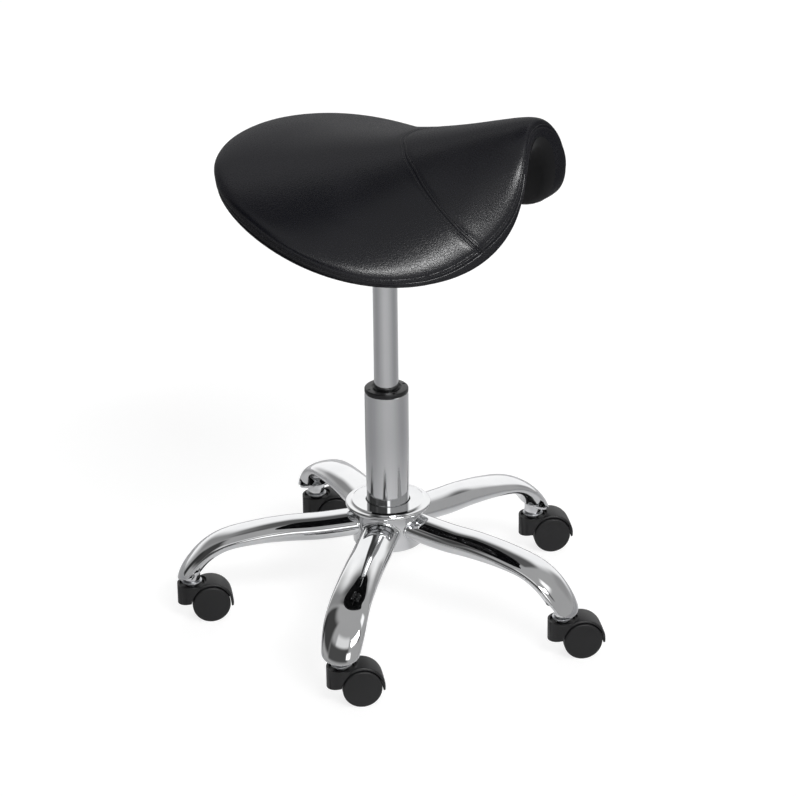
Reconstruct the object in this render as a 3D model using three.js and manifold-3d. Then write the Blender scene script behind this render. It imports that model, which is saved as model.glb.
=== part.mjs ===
// A saddle stool: a leather saddle on a gas lift, over a five-arm chromed base on twin-wheel casters.
// Millimetres, +Z up, standing on z = 0. The sitter faces -Y and the sitter's right hand is towards -X.

import * as THREE from 'three';
import { mergeVertices } from 'three/addons/utils/BufferGeometryUtils.js';
import Module from 'manifold-3d';

const wasm = await Module();
wasm.setup();

const { degToRad, lerp } = THREE.MathUtils;

// Clearances and cuts
const clearance = 0.3;
const overrun = 2;
const roundSides = 28;
const smallSides = 10;
const casterSides = 14;

// Casters, in the caster's own frame: the stem stands on the origin and the wheels trail along +X
const casterCount = 5;
const wheelFacets = 24;
const wheelRadius = 22;
const wheelWidth = 13;
const wheelDome = 1.6;
const wheelDomeShare = 0.8;
const wheelShoulder = 2.2;
const wheelHubWall = 3;
const casterTrail = 21;
const axleRadius = 3;
const webThickness = 12;
const webBossRadius = 7;
const hoodGap = 1.4;
const hoodWall = 2.6;
const hoodWidth = 32;
const hoodRearAngle = -8;
const housingRadius = 17;
const housingLipRise = 23;
const housingLipWall = 2.5;
const housingRecessDepth = 3;
const housingSkirtDrop = 3.4;
const housingSkirtSlope = 15;
const stemRadius = 4;
const stemBoreDepth = 17.5;
const stemCollarRadius = 7;
const stemCollarHeight = 4.4;
const stemFlangeRadius = 12;
const stemFlangeThickness = 2;
const stemNeckRadius = 5.5;
const stemGrooveRadius = 3.2;
const stemKnobRadius = 4.6;
const stemKnobRise = 2.6;
const stemGrooveDrop = 1;

// Base
const stemCircleRadius = 228.8;
const firstArmAngle = 116.85;
const casterHeading = -59.6;
const bushRadius = 10;
const bushHeight = 12;
const armWall = 2;
const armRootHalfDepth = 14;
const armHalfWidth = 22;
const armRise = 64.3;
const mouthRise = 1.4;
const mouthSlope = 33.5;
const mouthBack = 10;
const mouthBackSlope = 61;
const tipPlateThickness = 3;
const tipPlateDrop = 1.5;
const hubRadius = 40.5;
const hubHeight = 45;
const hubWall = 3;
const hubRoof = 4;
const hubSleeveWall = 3.6;
const hubBelowArms = 23.3;
const flangeRadius = 49;
const flangeTopRadius = 41;
const flangeHeight = 5;
const flangeLip = 2.4;
// Heights of the flange's rolled edge over its seat, from the bevel's foot down to the lip's bottom
const flangeEdgeShares = [1.3, 0.6, -0.3, -0.6];

// Gas lift
const tubeRadius = 25;
const tubeFootRadius = 24.45;
const tubeBore = 22.2;
const tubeLength = 188;
const tubeFloor = 4;
const tubeFloorBore = 6;
const tubeBelowHub = 3;
const tubeTaperLength = 73;
const sleeveLength = 80;
const collarRise = 5;
const collarChamfer = 0.9;
const collarFunnel = 3.4;
const collarFunnelDepth = 2;
const cylinderRadius = 14;
const cylinderWall = 1.6;
const cylinderLength = 264;
const cylinderInSleeve = 40;
const cylinderGuide = 18;
const taperLength = 32;
const taperTopRadius = 13.2;
const valveBlock = 40;
const valvePinRadius = 4;
const valvePinFootRadius = 5.5;
const valvePinFootHeight = 3;
const valvePinTopRadius = 2.6;
const valvePinProud = 5;
const rodRadius = 5;
const rodNeckRadius = 4;
const rodEndBelow = 7;
const pistonThickness = 10;
const pistonRodEnd = 3;
const bearingRadius = 14;
const bearingHeight = 6.5;
const thrustWasherHeight = 2;
const bumpRadius = 16;
const bumpHeight = 8;
const clipRadius = 9;
const clipThickness = 2;

// Seat mechanism
const socketRadius = 20;
const socketLip = 2;
const boxLength = 64;
const boxWidth = 52;
const boxWall = 2.5;
const boxFloorDrop = 13;
const boxRoofRise = 17;
const pivotOffset = 22;
const pivotRise = 9.5;
const pivotRadius = 2.5;
const pivotHead = 2;
const leverRadius = 4;
const leverEyeRadius = 6;
const leverEyeWidth = 9.2;
const leverInnerReach = 3;
const leverBend = 50;
const leverReach = 142;
const leverDroop = 20;
const leverSlotHeight = 14;
const leverSlotWidth = 10;
const gripRadius = 6.8;
const gripLength = 56;
const gripCover = 44;
const plateThickness = 3;
const plateLength = 144;
const plateWidth = 116;
const plateCorner = 14;
const screwSpacingX = 84;
const screwSpacingY = 110;
const screwRadius = 3;
const screwHeadRadius = 5.5;
const screwHeadHeight = 4;
const screwBite = 9;
const bossRadius = 9;

// Saddle. A length law has three values: at the rear tip, over the column and at the front tip.
const rearReach = 180;
const frontReach = 170;
const crestOverPlate = 57.3;
const crestRearDrop = 15.7;
const crestFrontRise = 44.4;
const crestLaw = [-crestRearDrop, 0, crestFrontRise];
const thicknessRear = 35.4;
const thicknessMiddle = 32.3;
const thicknessFront = 34.5;
const thicknessLaw = [thicknessRear, thicknessMiddle, thicknessFront];
const sideSlopeLaw = [5.7, 26.3, 63.6];
const bendLengthRear = 116.7;
const bendLengthFront = 65.2;
// The flat pattern's outline: cosine terms give the place along the seat, sine terms give the half width
const saddleHalfLength = 204.5;
const lengthShares = [0.019, 1, -0.014, -0.114, -0.009, -0.02, -0.02];
const saddleHalfWidth = 199.4;
const widthShares = [1, 0.152, -0.064, 0, 0.001, -0.022];
const topRoll = 48.5;
const bottomRoll = 13.6;
const widestShare = 0.233;
const rimLip = 5;
const shellThickness = 6.5;
const coverThickness = 1.5;
const outlineSteps = 40;
const crownSteps = 4;
const layerSteps = 3;
const topRollSteps = 4;
const bottomRollSteps = 3;

// Heights and places that follow from the sizes above
const axleZ = wheelRadius;
const lipZ = axleZ + housingLipRise;
const recessZ = lipZ - housingRecessDepth;
const flangeBottomZ = recessZ + clearance + stemCollarHeight;
const bushZ = flangeBottomZ + stemFlangeThickness + clearance;
const bushTopZ = bushZ + bushHeight;
const armTipZ = bushZ + clearance * 2;
const armRootZ = armTipZ + armRise;
const hubZ = armRootZ - hubBelowArms;
const hubTopZ = hubZ + hubHeight;
const tubeZ = hubZ - tubeBelowHub;
const tubeTopZ = tubeZ + tubeLength;
const cylinderZ = tubeTopZ - cylinderInSleeve;
const cylinderTopZ = cylinderZ + cylinderLength;
const pivotZ = cylinderTopZ + pivotRise;
const boxFloorZ = cylinderTopZ - boxFloorDrop;
const plateZ = cylinderTopZ + boxRoofRise;
const plateTopZ = plateZ + plateThickness;
const crestZ = plateTopZ + crestOverPlate;
const sideY = webThickness / 2;
const hoodInnerRadius = wheelRadius + hoodGap;
const hoodOuterRadius = hoodInnerRadius + hoodWall;

const finish = (color, metalness, roughness) => new THREE.MeshStandardMaterial({ color, metalness, roughness });
const chrome = () => finish(0xd9dce0, 1, 0.08);
const satinChrome = () => finish(0xb4b8bd, 1, 0.28);
const zincSteel = () => finish(0x9aa0a6, 1, 0.45);
const blackPlastic = () => finish(0x141416, 0, 0.5);
const rubber = () => finish(0x1b1b1b, 0, 0.85);
const plywood = () => finish(0x9a7148, 0, 0.7);
const coverCloth = () => finish(0x17171a, 0, 0.8);
const leather = () => finish(0x1d1d20, 0, 0.42);

const stool = new THREE.Group();

function signedVolume(positions, triangles) {
  const [a, b, c] = [new THREE.Vector3(), new THREE.Vector3(), new THREE.Vector3()];
  let total = 0;
  for (let i = 0; i < triangles.length; i += 3) {
    a.fromArray(positions, triangles[i] * 3);
    b.fromArray(positions, triangles[i + 1] * 3);
    c.fromArray(positions, triangles[i + 2] * 3);
    total += a.dot(b.cross(c));
  }
  return total;
}

// Makes a solid of a closed geometry, with its faces pointing outwards.
function solid(geometry) {
  const bare = geometry.clone();
  bare.deleteAttribute('normal');
  bare.deleteAttribute('uv');
  const merged = mergeVertices(bare);
  const vertProperties = new Float32Array(merged.attributes.position.array);
  const triVerts = new Uint32Array(merged.index.array);
  if (signedVolume(vertProperties, triVerts) < 0) triVerts.reverse();
  return new wasm.Manifold(new wasm.Mesh({ numProp: 3, vertProperties, triVerts }));
}

function geometryOf(body) {
  const { vertProperties, triVerts } = body.getMesh();
  const geometry = new THREE.BufferGeometry();
  geometry.setAttribute('position', new THREE.BufferAttribute(new Float32Array(vertProperties), 3));
  geometry.setIndex(new THREE.BufferAttribute(new Uint32Array(triVerts), 1));
  geometry.computeVertexNormals();
  return geometry;
}

function addPart(parent, name, body, material) {
  const mesh = new THREE.Mesh(geometryOf(body), material);
  mesh.name = name;
  parent.add(mesh);
  return mesh;
}

// A round body about the Z axis. A profile of [radius, height] points that is not closed ends on the axis.
function turned(profile, sides = roundSides, closed = true) {
  const points = profile.map(([radius, z]) => new THREE.Vector2(radius, z));
  if (closed) points.push(points[0].clone());
  return solid(new THREE.LatheGeometry(points, sides).rotateX(Math.PI / 2));
}

function drum(radius, low, high, sides = roundSides) {
  return turned([[0, low], [radius, low], [radius, high], [0, high]], sides, false);
}

function drumY(radius, low, high, x, z, sides = roundSides) {
  const geometry = new THREE.CylinderGeometry(radius, radius, high - low, sides);
  return solid(geometry.translate(x, (low + high) / 2, z));
}

function block(low, high) {
  const size = high.map((value, axis) => value - low[axis]);
  const middle = high.map((value, axis) => (value + low[axis]) / 2);
  return solid(new THREE.BoxGeometry(...size).translate(...middle));
}

function rodBetween(from, to, radius, sides = smallSides) {
  const along = to.clone().sub(from);
  const geometry = new THREE.CylinderGeometry(radius, radius, along.length(), sides);
  geometry.applyQuaternion(new THREE.Quaternion().setFromUnitVectors(
    new THREE.Vector3(0, 1, 0), along.clone().normalize()));
  return solid(geometry.translate(...from.clone().add(to).multiplyScalar(0.5)));
}

// A round rod through the points of a bent line in the XZ plane, mitred at its bends
function bentRod(places, radius, sides = smallSides) {
  const spans = places.slice(1).map((place, index) => place.clone().sub(places[index]).normalize());
  const across = new THREE.Vector3(0, 1, 0);
  const rings = places.map((place, index) => {
    const before = spans[Math.max(0, index - 1)];
    const after = spans[Math.min(index, spans.length - 1)];
    const tangent = before.clone().add(after).normalize();
    const upright = tangent.clone().cross(across).divideScalar(tangent.dot(before));
    return Array.from({ length: sides }, (_, side) => {
      const turn = (side / sides) * 2 * Math.PI;
      return place.clone()
        .addScaledVector(across, Math.cos(turn) * radius)
        .addScaledVector(upright, Math.sin(turn) * radius);
    });
  });
  return loft(rings);
}

// A closed skin over rings of points, each end drawn in to its ring's middle or to the pole given.
// The squares' diagonals change over at turnBack, so that a skin that comes back over itself repeats them.
function loft(rings, firstPole, lastPole, turnBack = rings.length) {
  const count = rings[0].length;
  const middle = (ring) => ring.reduce((sum, p) => sum.add(p), new THREE.Vector3()).divideScalar(count);
  const points = [...rings.flat(), firstPole ?? middle(rings[0]), lastPole ?? middle(rings.at(-1))];
  const [first, last] = [points.length - 2, points.length - 1];
  const triangles = [];
  const at = (ring, step) => ring * count + (step % count);
  for (let step = 0; step < count; step += 1) {
    triangles.push(first, at(0, step + 1), at(0, step));
    triangles.push(last, at(rings.length - 1, step), at(rings.length - 1, step + 1));
    for (let ring = 0; ring + 1 < rings.length; ring += 1) {
      const [from, to] = ring < turnBack ? [0, 1] : [1, 0];
      triangles.push(at(ring, step), at(ring, step + 1), at(ring + 1, step + to));
      triangles.push(at(ring, step + from), at(ring + 1, step + 1), at(ring + 1, step));
    }
  }
  const geometry = new THREE.BufferGeometry().setFromPoints(points);
  geometry.setIndex(triangles);
  return solid(geometry);
}

// Base: the hub, its flange and the bearing that carries the lift

function buildHub() {
  const sleeveBore = tubeFootRadius + clearance;
  const sleeveOuter = sleeveBore + hubSleeveWall;
  const roofZ = hubTopZ - hubRoof;
  const hub = turned([
    [sleeveBore, hubZ], [sleeveBore, hubTopZ], [hubRadius, hubTopZ], [hubRadius, hubZ],
    [hubRadius - hubWall, hubZ], [hubRadius - hubWall, roofZ], [sleeveOuter, roofZ], [sleeveOuter, hubZ],
  ]);
  addPart(stool, 'hub', hub, chrome());

  const low = hubTopZ + clearance;
  const top = low + flangeHeight;
  const [bevelZ, edgeTop, edgeBottom, lipBottom] = flangeEdgeShares.map((share) => low + flangeLip * share);
  const flange = turned([
    [sleeveBore, low], [sleeveBore, top], [flangeTopRadius, top], [flangeRadius - flangeLip, bevelZ],
    [flangeRadius, edgeTop], [flangeRadius, edgeBottom], [flangeRadius - flangeLip, lipBottom],
    [flangeRadius - flangeLip, low],
  ]);
  addPart(stool, 'hub_flange', flange, chrome());
}

// The arm's middle line and section: radial, height, half depth and half width shares at each station
const armStationShares = [
  [-0.06, 1.014, 1, 0.995], [0.228, 0.935, 1, 1.018], [0.405, 0.924, 0.943, 1.027],
  [0.607, 0.868, 0.8, 1.045], [0.79, 0.75, 0.686, 1.073], [0.895, 0.575, 0.671, 1.095],
  [0.975, 0.325, 0.7, 1.059], [1.022, 0.1, 0.714, 0.977], [1.043, -0.118, 0.736, 0.841],
];
const armSpans = 11;
const armSides = 12;
const armRootRadius = hubRadius - hubWall - clearance;

function armTube(inset) {
  const places = armStationShares.map(([radial, rise]) => new THREE.Vector3(
    lerp(armRootRadius, stemCircleRadius, radial), 0, lerp(armTipZ, armRootZ, rise)));
  const sections = armStationShares.map(([, , depth, width]) => new THREE.Vector3(
    depth * armRootHalfDepth - inset, width * armHalfWidth - inset, 0));
  const line = new THREE.CatmullRomCurve3(places);
  const sizes = new THREE.CatmullRomCurve3(sections);
  const across = new THREE.Vector3(0, 1, 0);
  const rings = Array.from({ length: armSpans + 1 }, (_, span) => {
    const share = span / armSpans;
    const middle = line.getPoint(share);
    const outward = across.clone().cross(line.getTangent(share)).negate();
    const [halfDepth, halfWidth] = sizes.getPoint(share).toArray();
    return Array.from({ length: armSides }, (_, side) => {
      const turn = (side / armSides) * 2 * Math.PI;
      return middle.clone()
        .addScaledVector(across, Math.cos(turn) * halfWidth)
        .addScaledVector(outward, Math.sin(turn) * halfDepth);
    });
  });
  return loft(rings);
}

// The mouth that opens the underside of the arm's tip: a gentle slant from the rim to the stem's axis,
// then a steep one, with an upright end
function mouthCut() {
  const [endShare, , endDepthShare] = armStationShares.at(-1);
  const rimRadius = lerp(armRootRadius, stemCircleRadius, endShare) + armRootHalfDepth * endDepthShare;
  const backRadius = stemCircleRadius - mouthBack;
  const rimZ = armTipZ + mouthRise;
  const elbowZ = rimZ + (rimRadius - stemCircleRadius) * Math.tan(degToRad(mouthSlope));
  const backZ = elbowZ + mouthBack * Math.tan(degToRad(mouthBackSlope));
  const outline = new THREE.Shape([
    [rimRadius + overrun, 0], [rimRadius + overrun, rimZ], [rimRadius, rimZ], [stemCircleRadius, elbowZ],
    [backRadius, backZ], [backRadius, 0],
  ].map(([x, z]) => new THREE.Vector2(x, z)));
  const width = armHalfWidth * 4;
  const geometry = new THREE.ExtrudeGeometry(outline, { depth: width, bevelEnabled: false });
  return solid(geometry.translate(0, 0, -width / 2).rotateX(Math.PI / 2));
}

function buildArms() {
  const hubCut = drum(hubRadius + clearance, hubZ - overrun, hubTopZ + overrun)
    .rotate([0, 0, 180 / roundSides]);
  const arm = armTube(0).subtract(armTube(armWall)).subtract(hubCut).subtract(mouthCut());
  const cavity = armTube(armWall + clearance);

  const bushBore = stemNeckRadius + clearance;
  const bush = turned([
    [bushBore, bushZ], [bushRadius, bushZ], [bushRadius, bushTopZ], [bushBore, bushTopZ],
  ], casterSides).translate([stemCircleRadius, 0, 0]);
  const plateTop = bushTopZ - tipPlateDrop;
  const tipPlate = block(
    [stemCircleRadius + bushRadius / 2, -armHalfWidth, plateTop - tipPlateThickness],
    [stemCircleRadius + armHalfWidth * 2, armHalfWidth, plateTop],
  ).intersect(cavity).subtract(drum(bushBore + overrun, 0, armRootZ, casterSides).translate([stemCircleRadius, 0, 0]));
  const holder = bush.add(tipPlate);

  const collarBottom = recessZ + clearance;
  const flangeTop = flangeBottomZ + stemFlangeThickness;
  const knobZ = bushTopZ + stemKnobRise;
  const knobSteps = [-25, 35].map((angle) => [
    stemKnobRadius * Math.cos(degToRad(angle)), knobZ + stemKnobRadius * Math.sin(degToRad(angle))]);
  const stem = turned([
    [0, recessZ - stemBoreDepth + clearance], [stemRadius, recessZ - stemBoreDepth + clearance],
    [stemRadius, collarBottom], [stemCollarRadius, collarBottom], [stemCollarRadius, flangeBottomZ],
    [stemFlangeRadius, flangeBottomZ], [stemFlangeRadius, flangeTop], [stemNeckRadius, flangeTop],
    [stemNeckRadius, bushTopZ - stemKnobRise - stemGrooveDrop], [stemGrooveRadius, bushTopZ - stemKnobRise],
    ...knobSteps, [0, knobZ + stemKnobRadius],
  ], smallSides, false).translate([stemCircleRadius, 0, 0]);

  for (let index = 0; index < casterCount; index += 1) {
    const side = new THREE.Group();
    side.rotation.z = degToRad(firstArmAngle + (index * 360) / casterCount);
    addPart(side, `arm_${index + 1}`, arm, chrome());
    addPart(side, `caster_bush_${index + 1}`, holder, chrome());
    addPart(side, `caster_stem_${index + 1}`, stem, zincSteel());
    stool.add(side);
  }
}

// Casters

function housingSolid() {
  const lipRadius = housingRadius - housingLipWall;
  const lowZ = axleZ - housingRadius;
  const skirt = block([-hoodWidth, -hoodWidth, 0], [hoodWidth * 2, hoodWidth, hoodWidth])
    .rotate([0, -housingSkirtSlope, 0]).translate([0, 0, axleZ + housingSkirtDrop]);
  const cup = drum(housingRadius, lowZ, lipZ, casterSides).intersect(skirt);

  const rear = degToRad(hoodRearAngle);
  const front = Math.PI - rear;
  const band = new THREE.Shape();
  band.absarc(0, 0, hoodOuterRadius, rear, front, false);
  band.absarc(0, 0, hoodInnerRadius, front, rear, true);
  const hoodGeometry = new THREE.ExtrudeGeometry(band, {
    depth: hoodWidth, bevelEnabled: false, curveSegments: casterSides / 2,
  });
  hoodGeometry.translate(0, 0, -hoodWidth / 2).rotateX(Math.PI / 2).translate(casterTrail, 0, axleZ);
  const aboveLip = drum(housingRadius, lipZ - housingLipWall, axleZ + hoodOuterRadius + overrun, casterSides);
  const frontOfStem = block([-hoodOuterRadius * 2, -hoodWidth, 0], [0, hoodWidth, axleZ * 3]);
  const hood = solid(hoodGeometry).subtract(aboveLip).subtract(frontOfStem);

  const webTop = drumY(hoodInnerRadius + hoodWall / 2, -sideY, sideY, casterTrail, axleZ, casterSides)
    .subtract(block([-hoodOuterRadius, -hoodWidth, -axleZ],
      [casterTrail + hoodOuterRadius * 2, hoodWidth, axleZ + webBossRadius / 2]))
    .subtract(aboveLip);
  const webLow = block([0, -sideY, axleZ - webBossRadius / 2],
    [casterTrail, sideY, axleZ + webBossRadius]);
  const boss = drumY(webBossRadius, -sideY, sideY, casterTrail, axleZ, casterSides);
  const wheelRoom = [-1, 1].map((side) => drumY(hoodInnerRadius,
    ...(side > 0 ? [sideY, hoodWidth] : [-hoodWidth, -sideY]), casterTrail, axleZ, casterSides));

  return cup.subtract(wheelRoom[0]).subtract(wheelRoom[1])
    .add(hood).add(webTop).add(webLow).add(boss)
    .subtract(drumY(axleRadius + clearance, -hoodWidth, hoodWidth, casterTrail, axleZ, smallSides))
    .subtract(drum(lipRadius, recessZ, lipZ + overrun, casterSides))
    .subtract(drum(stemRadius + clearance, recessZ - stemBoreDepth, lipZ, smallSides));
}

// One wheel with its face towards +Y and its axle on the origin
function wheelSolid() {
  const inner = sideY + clearance;
  const face = inner + wheelWidth - wheelDome;
  const rim = wheelRadius / Math.cos(Math.PI / wheelFacets);
  const bore = axleRadius + clearance;
  const boreEnd = face - wheelHubWall;
  const body = turned([
    [0, boreEnd], [bore, boreEnd], [bore, inner], [rim - wheelShoulder / 2, inner],
    [rim, inner + wheelShoulder / 2], [rim, face - wheelShoulder], [rim - wheelShoulder, face],
    [rim / 2, face + wheelDome * wheelDomeShare], [0, face + wheelDome],
  ], wheelFacets, false);
  return body.rotate([0, 0, 180 / wheelFacets]).rotate([-90, 0, 0]);
}

function buildCasters() {
  const housing = housingSolid();
  const axleEnd = sideY + wheelWidth - wheelDome - wheelHubWall;
  const axle = drumY(axleRadius, -axleEnd, axleEnd, casterTrail, axleZ, smallSides);
  const leftWheel = wheelSolid();
  const rightWheel = leftWheel.mirror([0, 1, 0]);
  for (let index = 0; index < casterCount; index += 1) {
    const angle = degToRad(firstArmAngle + (index * 360) / casterCount);
    const caster = new THREE.Group();
    caster.position.set(stemCircleRadius * Math.cos(angle), stemCircleRadius * Math.sin(angle), 0);
    caster.rotation.z = degToRad(casterHeading);
    addPart(caster, `caster_housing_${index + 1}`, housing, blackPlastic());
    addPart(caster, `caster_axle_${index + 1}`, axle, zincSteel());
    addPart(caster, `wheel_left_${index + 1}`, leftWheel, blackPlastic()).position.set(casterTrail, 0, axleZ);
    addPart(caster, `wheel_right_${index + 1}`, rightWheel, blackPlastic()).position.set(casterTrail, 0, axleZ);
    stool.add(caster);
  }
}

// Gas lift: the outer tube stands in the hub, the rod hangs in its floor, and the cylinder rides on the rod

function buildLift() {
  const taperTop = hubTopZ + flangeHeight + tubeTaperLength;
  const floorTop = tubeZ + tubeFloor;
  const tube = turned([
    [tubeFloorBore, tubeZ], [tubeFootRadius, tubeZ], [tubeFootRadius, hubTopZ + flangeHeight],
    [tubeRadius, taperTop], [tubeRadius, tubeTopZ], [tubeBore, tubeTopZ], [tubeBore, floorTop],
    [tubeFloorBore, floorTop],
  ]);
  addPart(stool, 'column_tube', tube, satinChrome());

  const collarZ = tubeTopZ + clearance;
  const collarTop = tubeTopZ + collarRise;
  const sleeveOuter = tubeBore - clearance;
  const sleeveBore = cylinderRadius + clearance;
  const sleeve = turned([
    [sleeveBore, tubeTopZ - sleeveLength], [sleeveOuter, tubeTopZ - sleeveLength], [sleeveOuter, collarZ],
    [tubeRadius, collarZ], [tubeRadius, collarTop - collarChamfer], [tubeRadius - collarChamfer, collarTop],
    [sleeveBore + collarFunnel, collarTop], [sleeveBore, collarTop - collarFunnelDepth],
  ]);
  addPart(stool, 'guide_sleeve', sleeve, blackPlastic());

  const bearingZ = floorTop + clearance;
  const washerZ = bearingZ + bearingHeight + clearance;
  const bumpZ = washerZ + thrustWasherHeight + clearance;
  const ring = (bore, radius, low, high) => turned(
    [[bore, low], [radius, low], [radius, high], [bore, high]], casterSides);
  addPart(stool, 'thrust_bearing', ring(rodNeckRadius + clearance * 2, bearingRadius, bearingZ,
    bearingZ + bearingHeight), zincSteel());
  addPart(stool, 'thrust_washer', ring(rodNeckRadius + clearance, bearingRadius, washerZ,
    washerZ + thrustWasherHeight), zincSteel());
  addPart(stool, 'bump_ring', ring(rodRadius + clearance, bumpRadius, bumpZ, bumpZ + bumpHeight), rubber());

  const guideTop = cylinderZ + cylinderGuide;
  const pistonZ = guideTop + clearance * 4;
  const rodTop = pistonZ + pistonThickness + pistonRodEnd;
  const rod = turned([
    [0, tubeZ - rodEndBelow], [rodNeckRadius, tubeZ - rodEndBelow], [rodNeckRadius, bumpZ],
    [rodRadius, bumpZ], [rodRadius, pistonZ - clearance], [rodNeckRadius, pistonZ - clearance],
    [rodNeckRadius, rodTop], [0, rodTop],
  ], smallSides, false);
  addPart(stool, 'piston_rod', rod, satinChrome());
  addPart(stool, 'piston', ring(rodNeckRadius + clearance, cylinderRadius - cylinderWall - clearance, pistonZ,
    pistonZ + pistonThickness), blackPlastic());
  const clipTop = tubeZ - clearance;
  addPart(stool, 'retaining_clip', ring(rodNeckRadius + clearance, clipRadius, clipTop - clipThickness,
    clipTop), zincSteel());

  const innerRadius = cylinderRadius - cylinderWall;
  const shoulderZ = cylinderTopZ - taperLength;
  const valveZ = cylinderTopZ - valveBlock;
  const pinBore = valvePinRadius + clearance;
  const cylinder = turned([
    [rodRadius + clearance, cylinderZ], [cylinderRadius - clearance, cylinderZ],
    [cylinderRadius, cylinderZ + clearance], [cylinderRadius, shoulderZ], [taperTopRadius, cylinderTopZ],
    [pinBore, cylinderTopZ], [pinBore, valveZ], [innerRadius, valveZ], [innerRadius, guideTop],
    [rodRadius + clearance, guideTop],
  ]);
  addPart(stool, 'lift_cylinder', cylinder, satinChrome());

  const pinTop = cylinderTopZ + valvePinProud;
  const footTop = valveZ - clearance;
  const pin = turned([
    [0, footTop - valvePinFootHeight], [valvePinFootRadius, footTop - valvePinFootHeight],
    [valvePinFootRadius, footTop], [valvePinRadius, footTop], [valvePinRadius, pinTop - overrun],
    [valvePinTopRadius, pinTop], [0, pinTop],
  ], smallSides, false);
  addPart(stool, 'valve_pin', pin, zincSteel());
}

// Seat mechanism: a taper socket in a pressed box under the seat plate, with the height lever through it

function buildMechanism() {
  const shoulderZ = cylinderTopZ - taperLength;
  const socketTop = cylinderTopZ - socketLip;
  const boreAt = (z) => lerp(cylinderRadius, taperTopRadius, (z - shoulderZ) / taperLength) + clearance;
  const socket = turned([
    [boreAt(shoulderZ), shoulderZ], [socketRadius, shoulderZ], [socketRadius, socketTop],
    [boreAt(socketTop), socketTop],
  ]);
  addPart(stool, 'taper_socket', socket, zincSteel());

  const [halfLength, halfWidth] = [boxLength / 2, boxWidth / 2];
  const boxTop = plateZ - clearance;
  const box = block([-halfLength, -halfWidth, boxFloorZ], [halfLength, halfWidth, boxTop])
    .subtract(block([boxWall - halfLength, boxWall - halfWidth, boxFloorZ + boxWall],
      [halfLength - boxWall, halfWidth - boxWall, boxTop + overrun]))
    .subtract(drum(socketRadius + clearance, boxFloorZ - overrun, boxFloorZ + boxWall + overrun))
    .subtract(drumY(pivotRadius + clearance, -boxWidth, boxWidth, -pivotOffset, pivotZ, smallSides))
    .subtract(block([-boxLength, -leverSlotWidth / 2, pivotZ - leverSlotHeight / 2],
      [boxWall + overrun - halfLength, leverSlotWidth / 2, pivotZ + leverSlotHeight / 2]));
  addPart(stool, 'mechanism_box', box, zincSteel());

  const pivotEnd = halfWidth + clearance + pivotHead;
  const pivot = drumY(pivotRadius, -halfWidth - pivotHead, pivotEnd, -pivotOffset, pivotZ, smallSides)
    .add(drumY(pivotRadius + pivotHead, halfWidth + clearance, pivotEnd, -pivotOffset, pivotZ, smallSides));
  addPart(stool, 'pivot_pin', pivot, zincSteel());

  const droop = Math.tan(degToRad(leverDroop));
  const place = (reach) => new THREE.Vector3(-reach, 0, pivotZ - Math.max(0, reach - leverBend) * droop);
  const gripStart = leverReach - gripLength;
  const lever = bentRod([place(-leverInnerReach), place(leverBend), place(gripStart + gripCover)], leverRadius)
    .add(drumY(leverEyeRadius, -leverEyeWidth / 2, leverEyeWidth / 2, -pivotOffset, pivotZ, smallSides))
    .subtract(drumY(pivotRadius + clearance, -boxWidth, boxWidth, -pivotOffset, pivotZ, smallSides));
  addPart(stool, 'lever_rod', lever, zincSteel());
  const grip = rodBetween(place(gripStart), place(leverReach), gripRadius)
    .subtract(rodBetween(place(leverBend), place(gripStart + gripCover + clearance),
      leverRadius + clearance));
  addPart(stool, 'lever_grip', grip, blackPlastic());

  const outline = new THREE.Shape();
  const [halfX, halfY] = [plateWidth / 2, plateLength / 2];
  outline.moveTo(plateCorner - halfX, -halfY);
  outline.absarc(halfX - plateCorner, plateCorner - halfY, plateCorner, -Math.PI / 2, 0, false);
  outline.absarc(halfX - plateCorner, halfY - plateCorner, plateCorner, 0, Math.PI / 2, false);
  outline.absarc(plateCorner - halfX, halfY - plateCorner, plateCorner, Math.PI / 2, Math.PI, false);
  outline.absarc(plateCorner - halfX, plateCorner - halfY, plateCorner, Math.PI, Math.PI * 1.5, false);
  let plate = solid(new THREE.ExtrudeGeometry(outline, {
    depth: plateThickness, bevelEnabled: false, curveSegments: 4,
  }).translate(0, 0, plateZ));
  screwPlaces().forEach(([x, y]) => {
    plate = plate.subtract(drum(screwRadius + clearance, plateZ - overrun, plateTopZ + overrun, smallSides)
      .translate([x, y, 0]));
  });
  addPart(stool, 'seat_plate', plate, zincSteel());

  const headTop = plateZ - clearance;
  const screw = turned([
    [0, headTop - screwHeadHeight], [screwHeadRadius, headTop - screwHeadHeight], [screwHeadRadius, headTop],
    [screwRadius, headTop], [screwRadius, plateTopZ + screwBite], [0, plateTopZ + screwBite],
  ], smallSides, false);
  screwPlaces().forEach(([x, y], index) => {
    addPart(stool, `plate_screw_${index + 1}`, screw.translate([x, y, 0]), zincSteel());
  });
}

function screwPlaces() {
  return [-1, 1].flatMap((side) => [-1, 1].map((end) => [side * screwSpacingX / 2, end * screwSpacingY / 2]));
}

// Saddle: one flat pattern, bent over a rising crest, gives the places of every layer

// A smooth law through its values at the rear tip, over the column and at the front tip
function alongSeat([rear, middle, front], forward) {
  const fromRear = forward + rearReach;
  const toFront = forward - frontReach;
  return rear * forward * toFront / (rearReach * (rearReach + frontReach))
    - middle * fromRear * toFront / (rearReach * frontReach)
    + front * forward * fromRear / (frontReach * (rearReach + frontReach));
}

const slopeSamples = 24;

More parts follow.
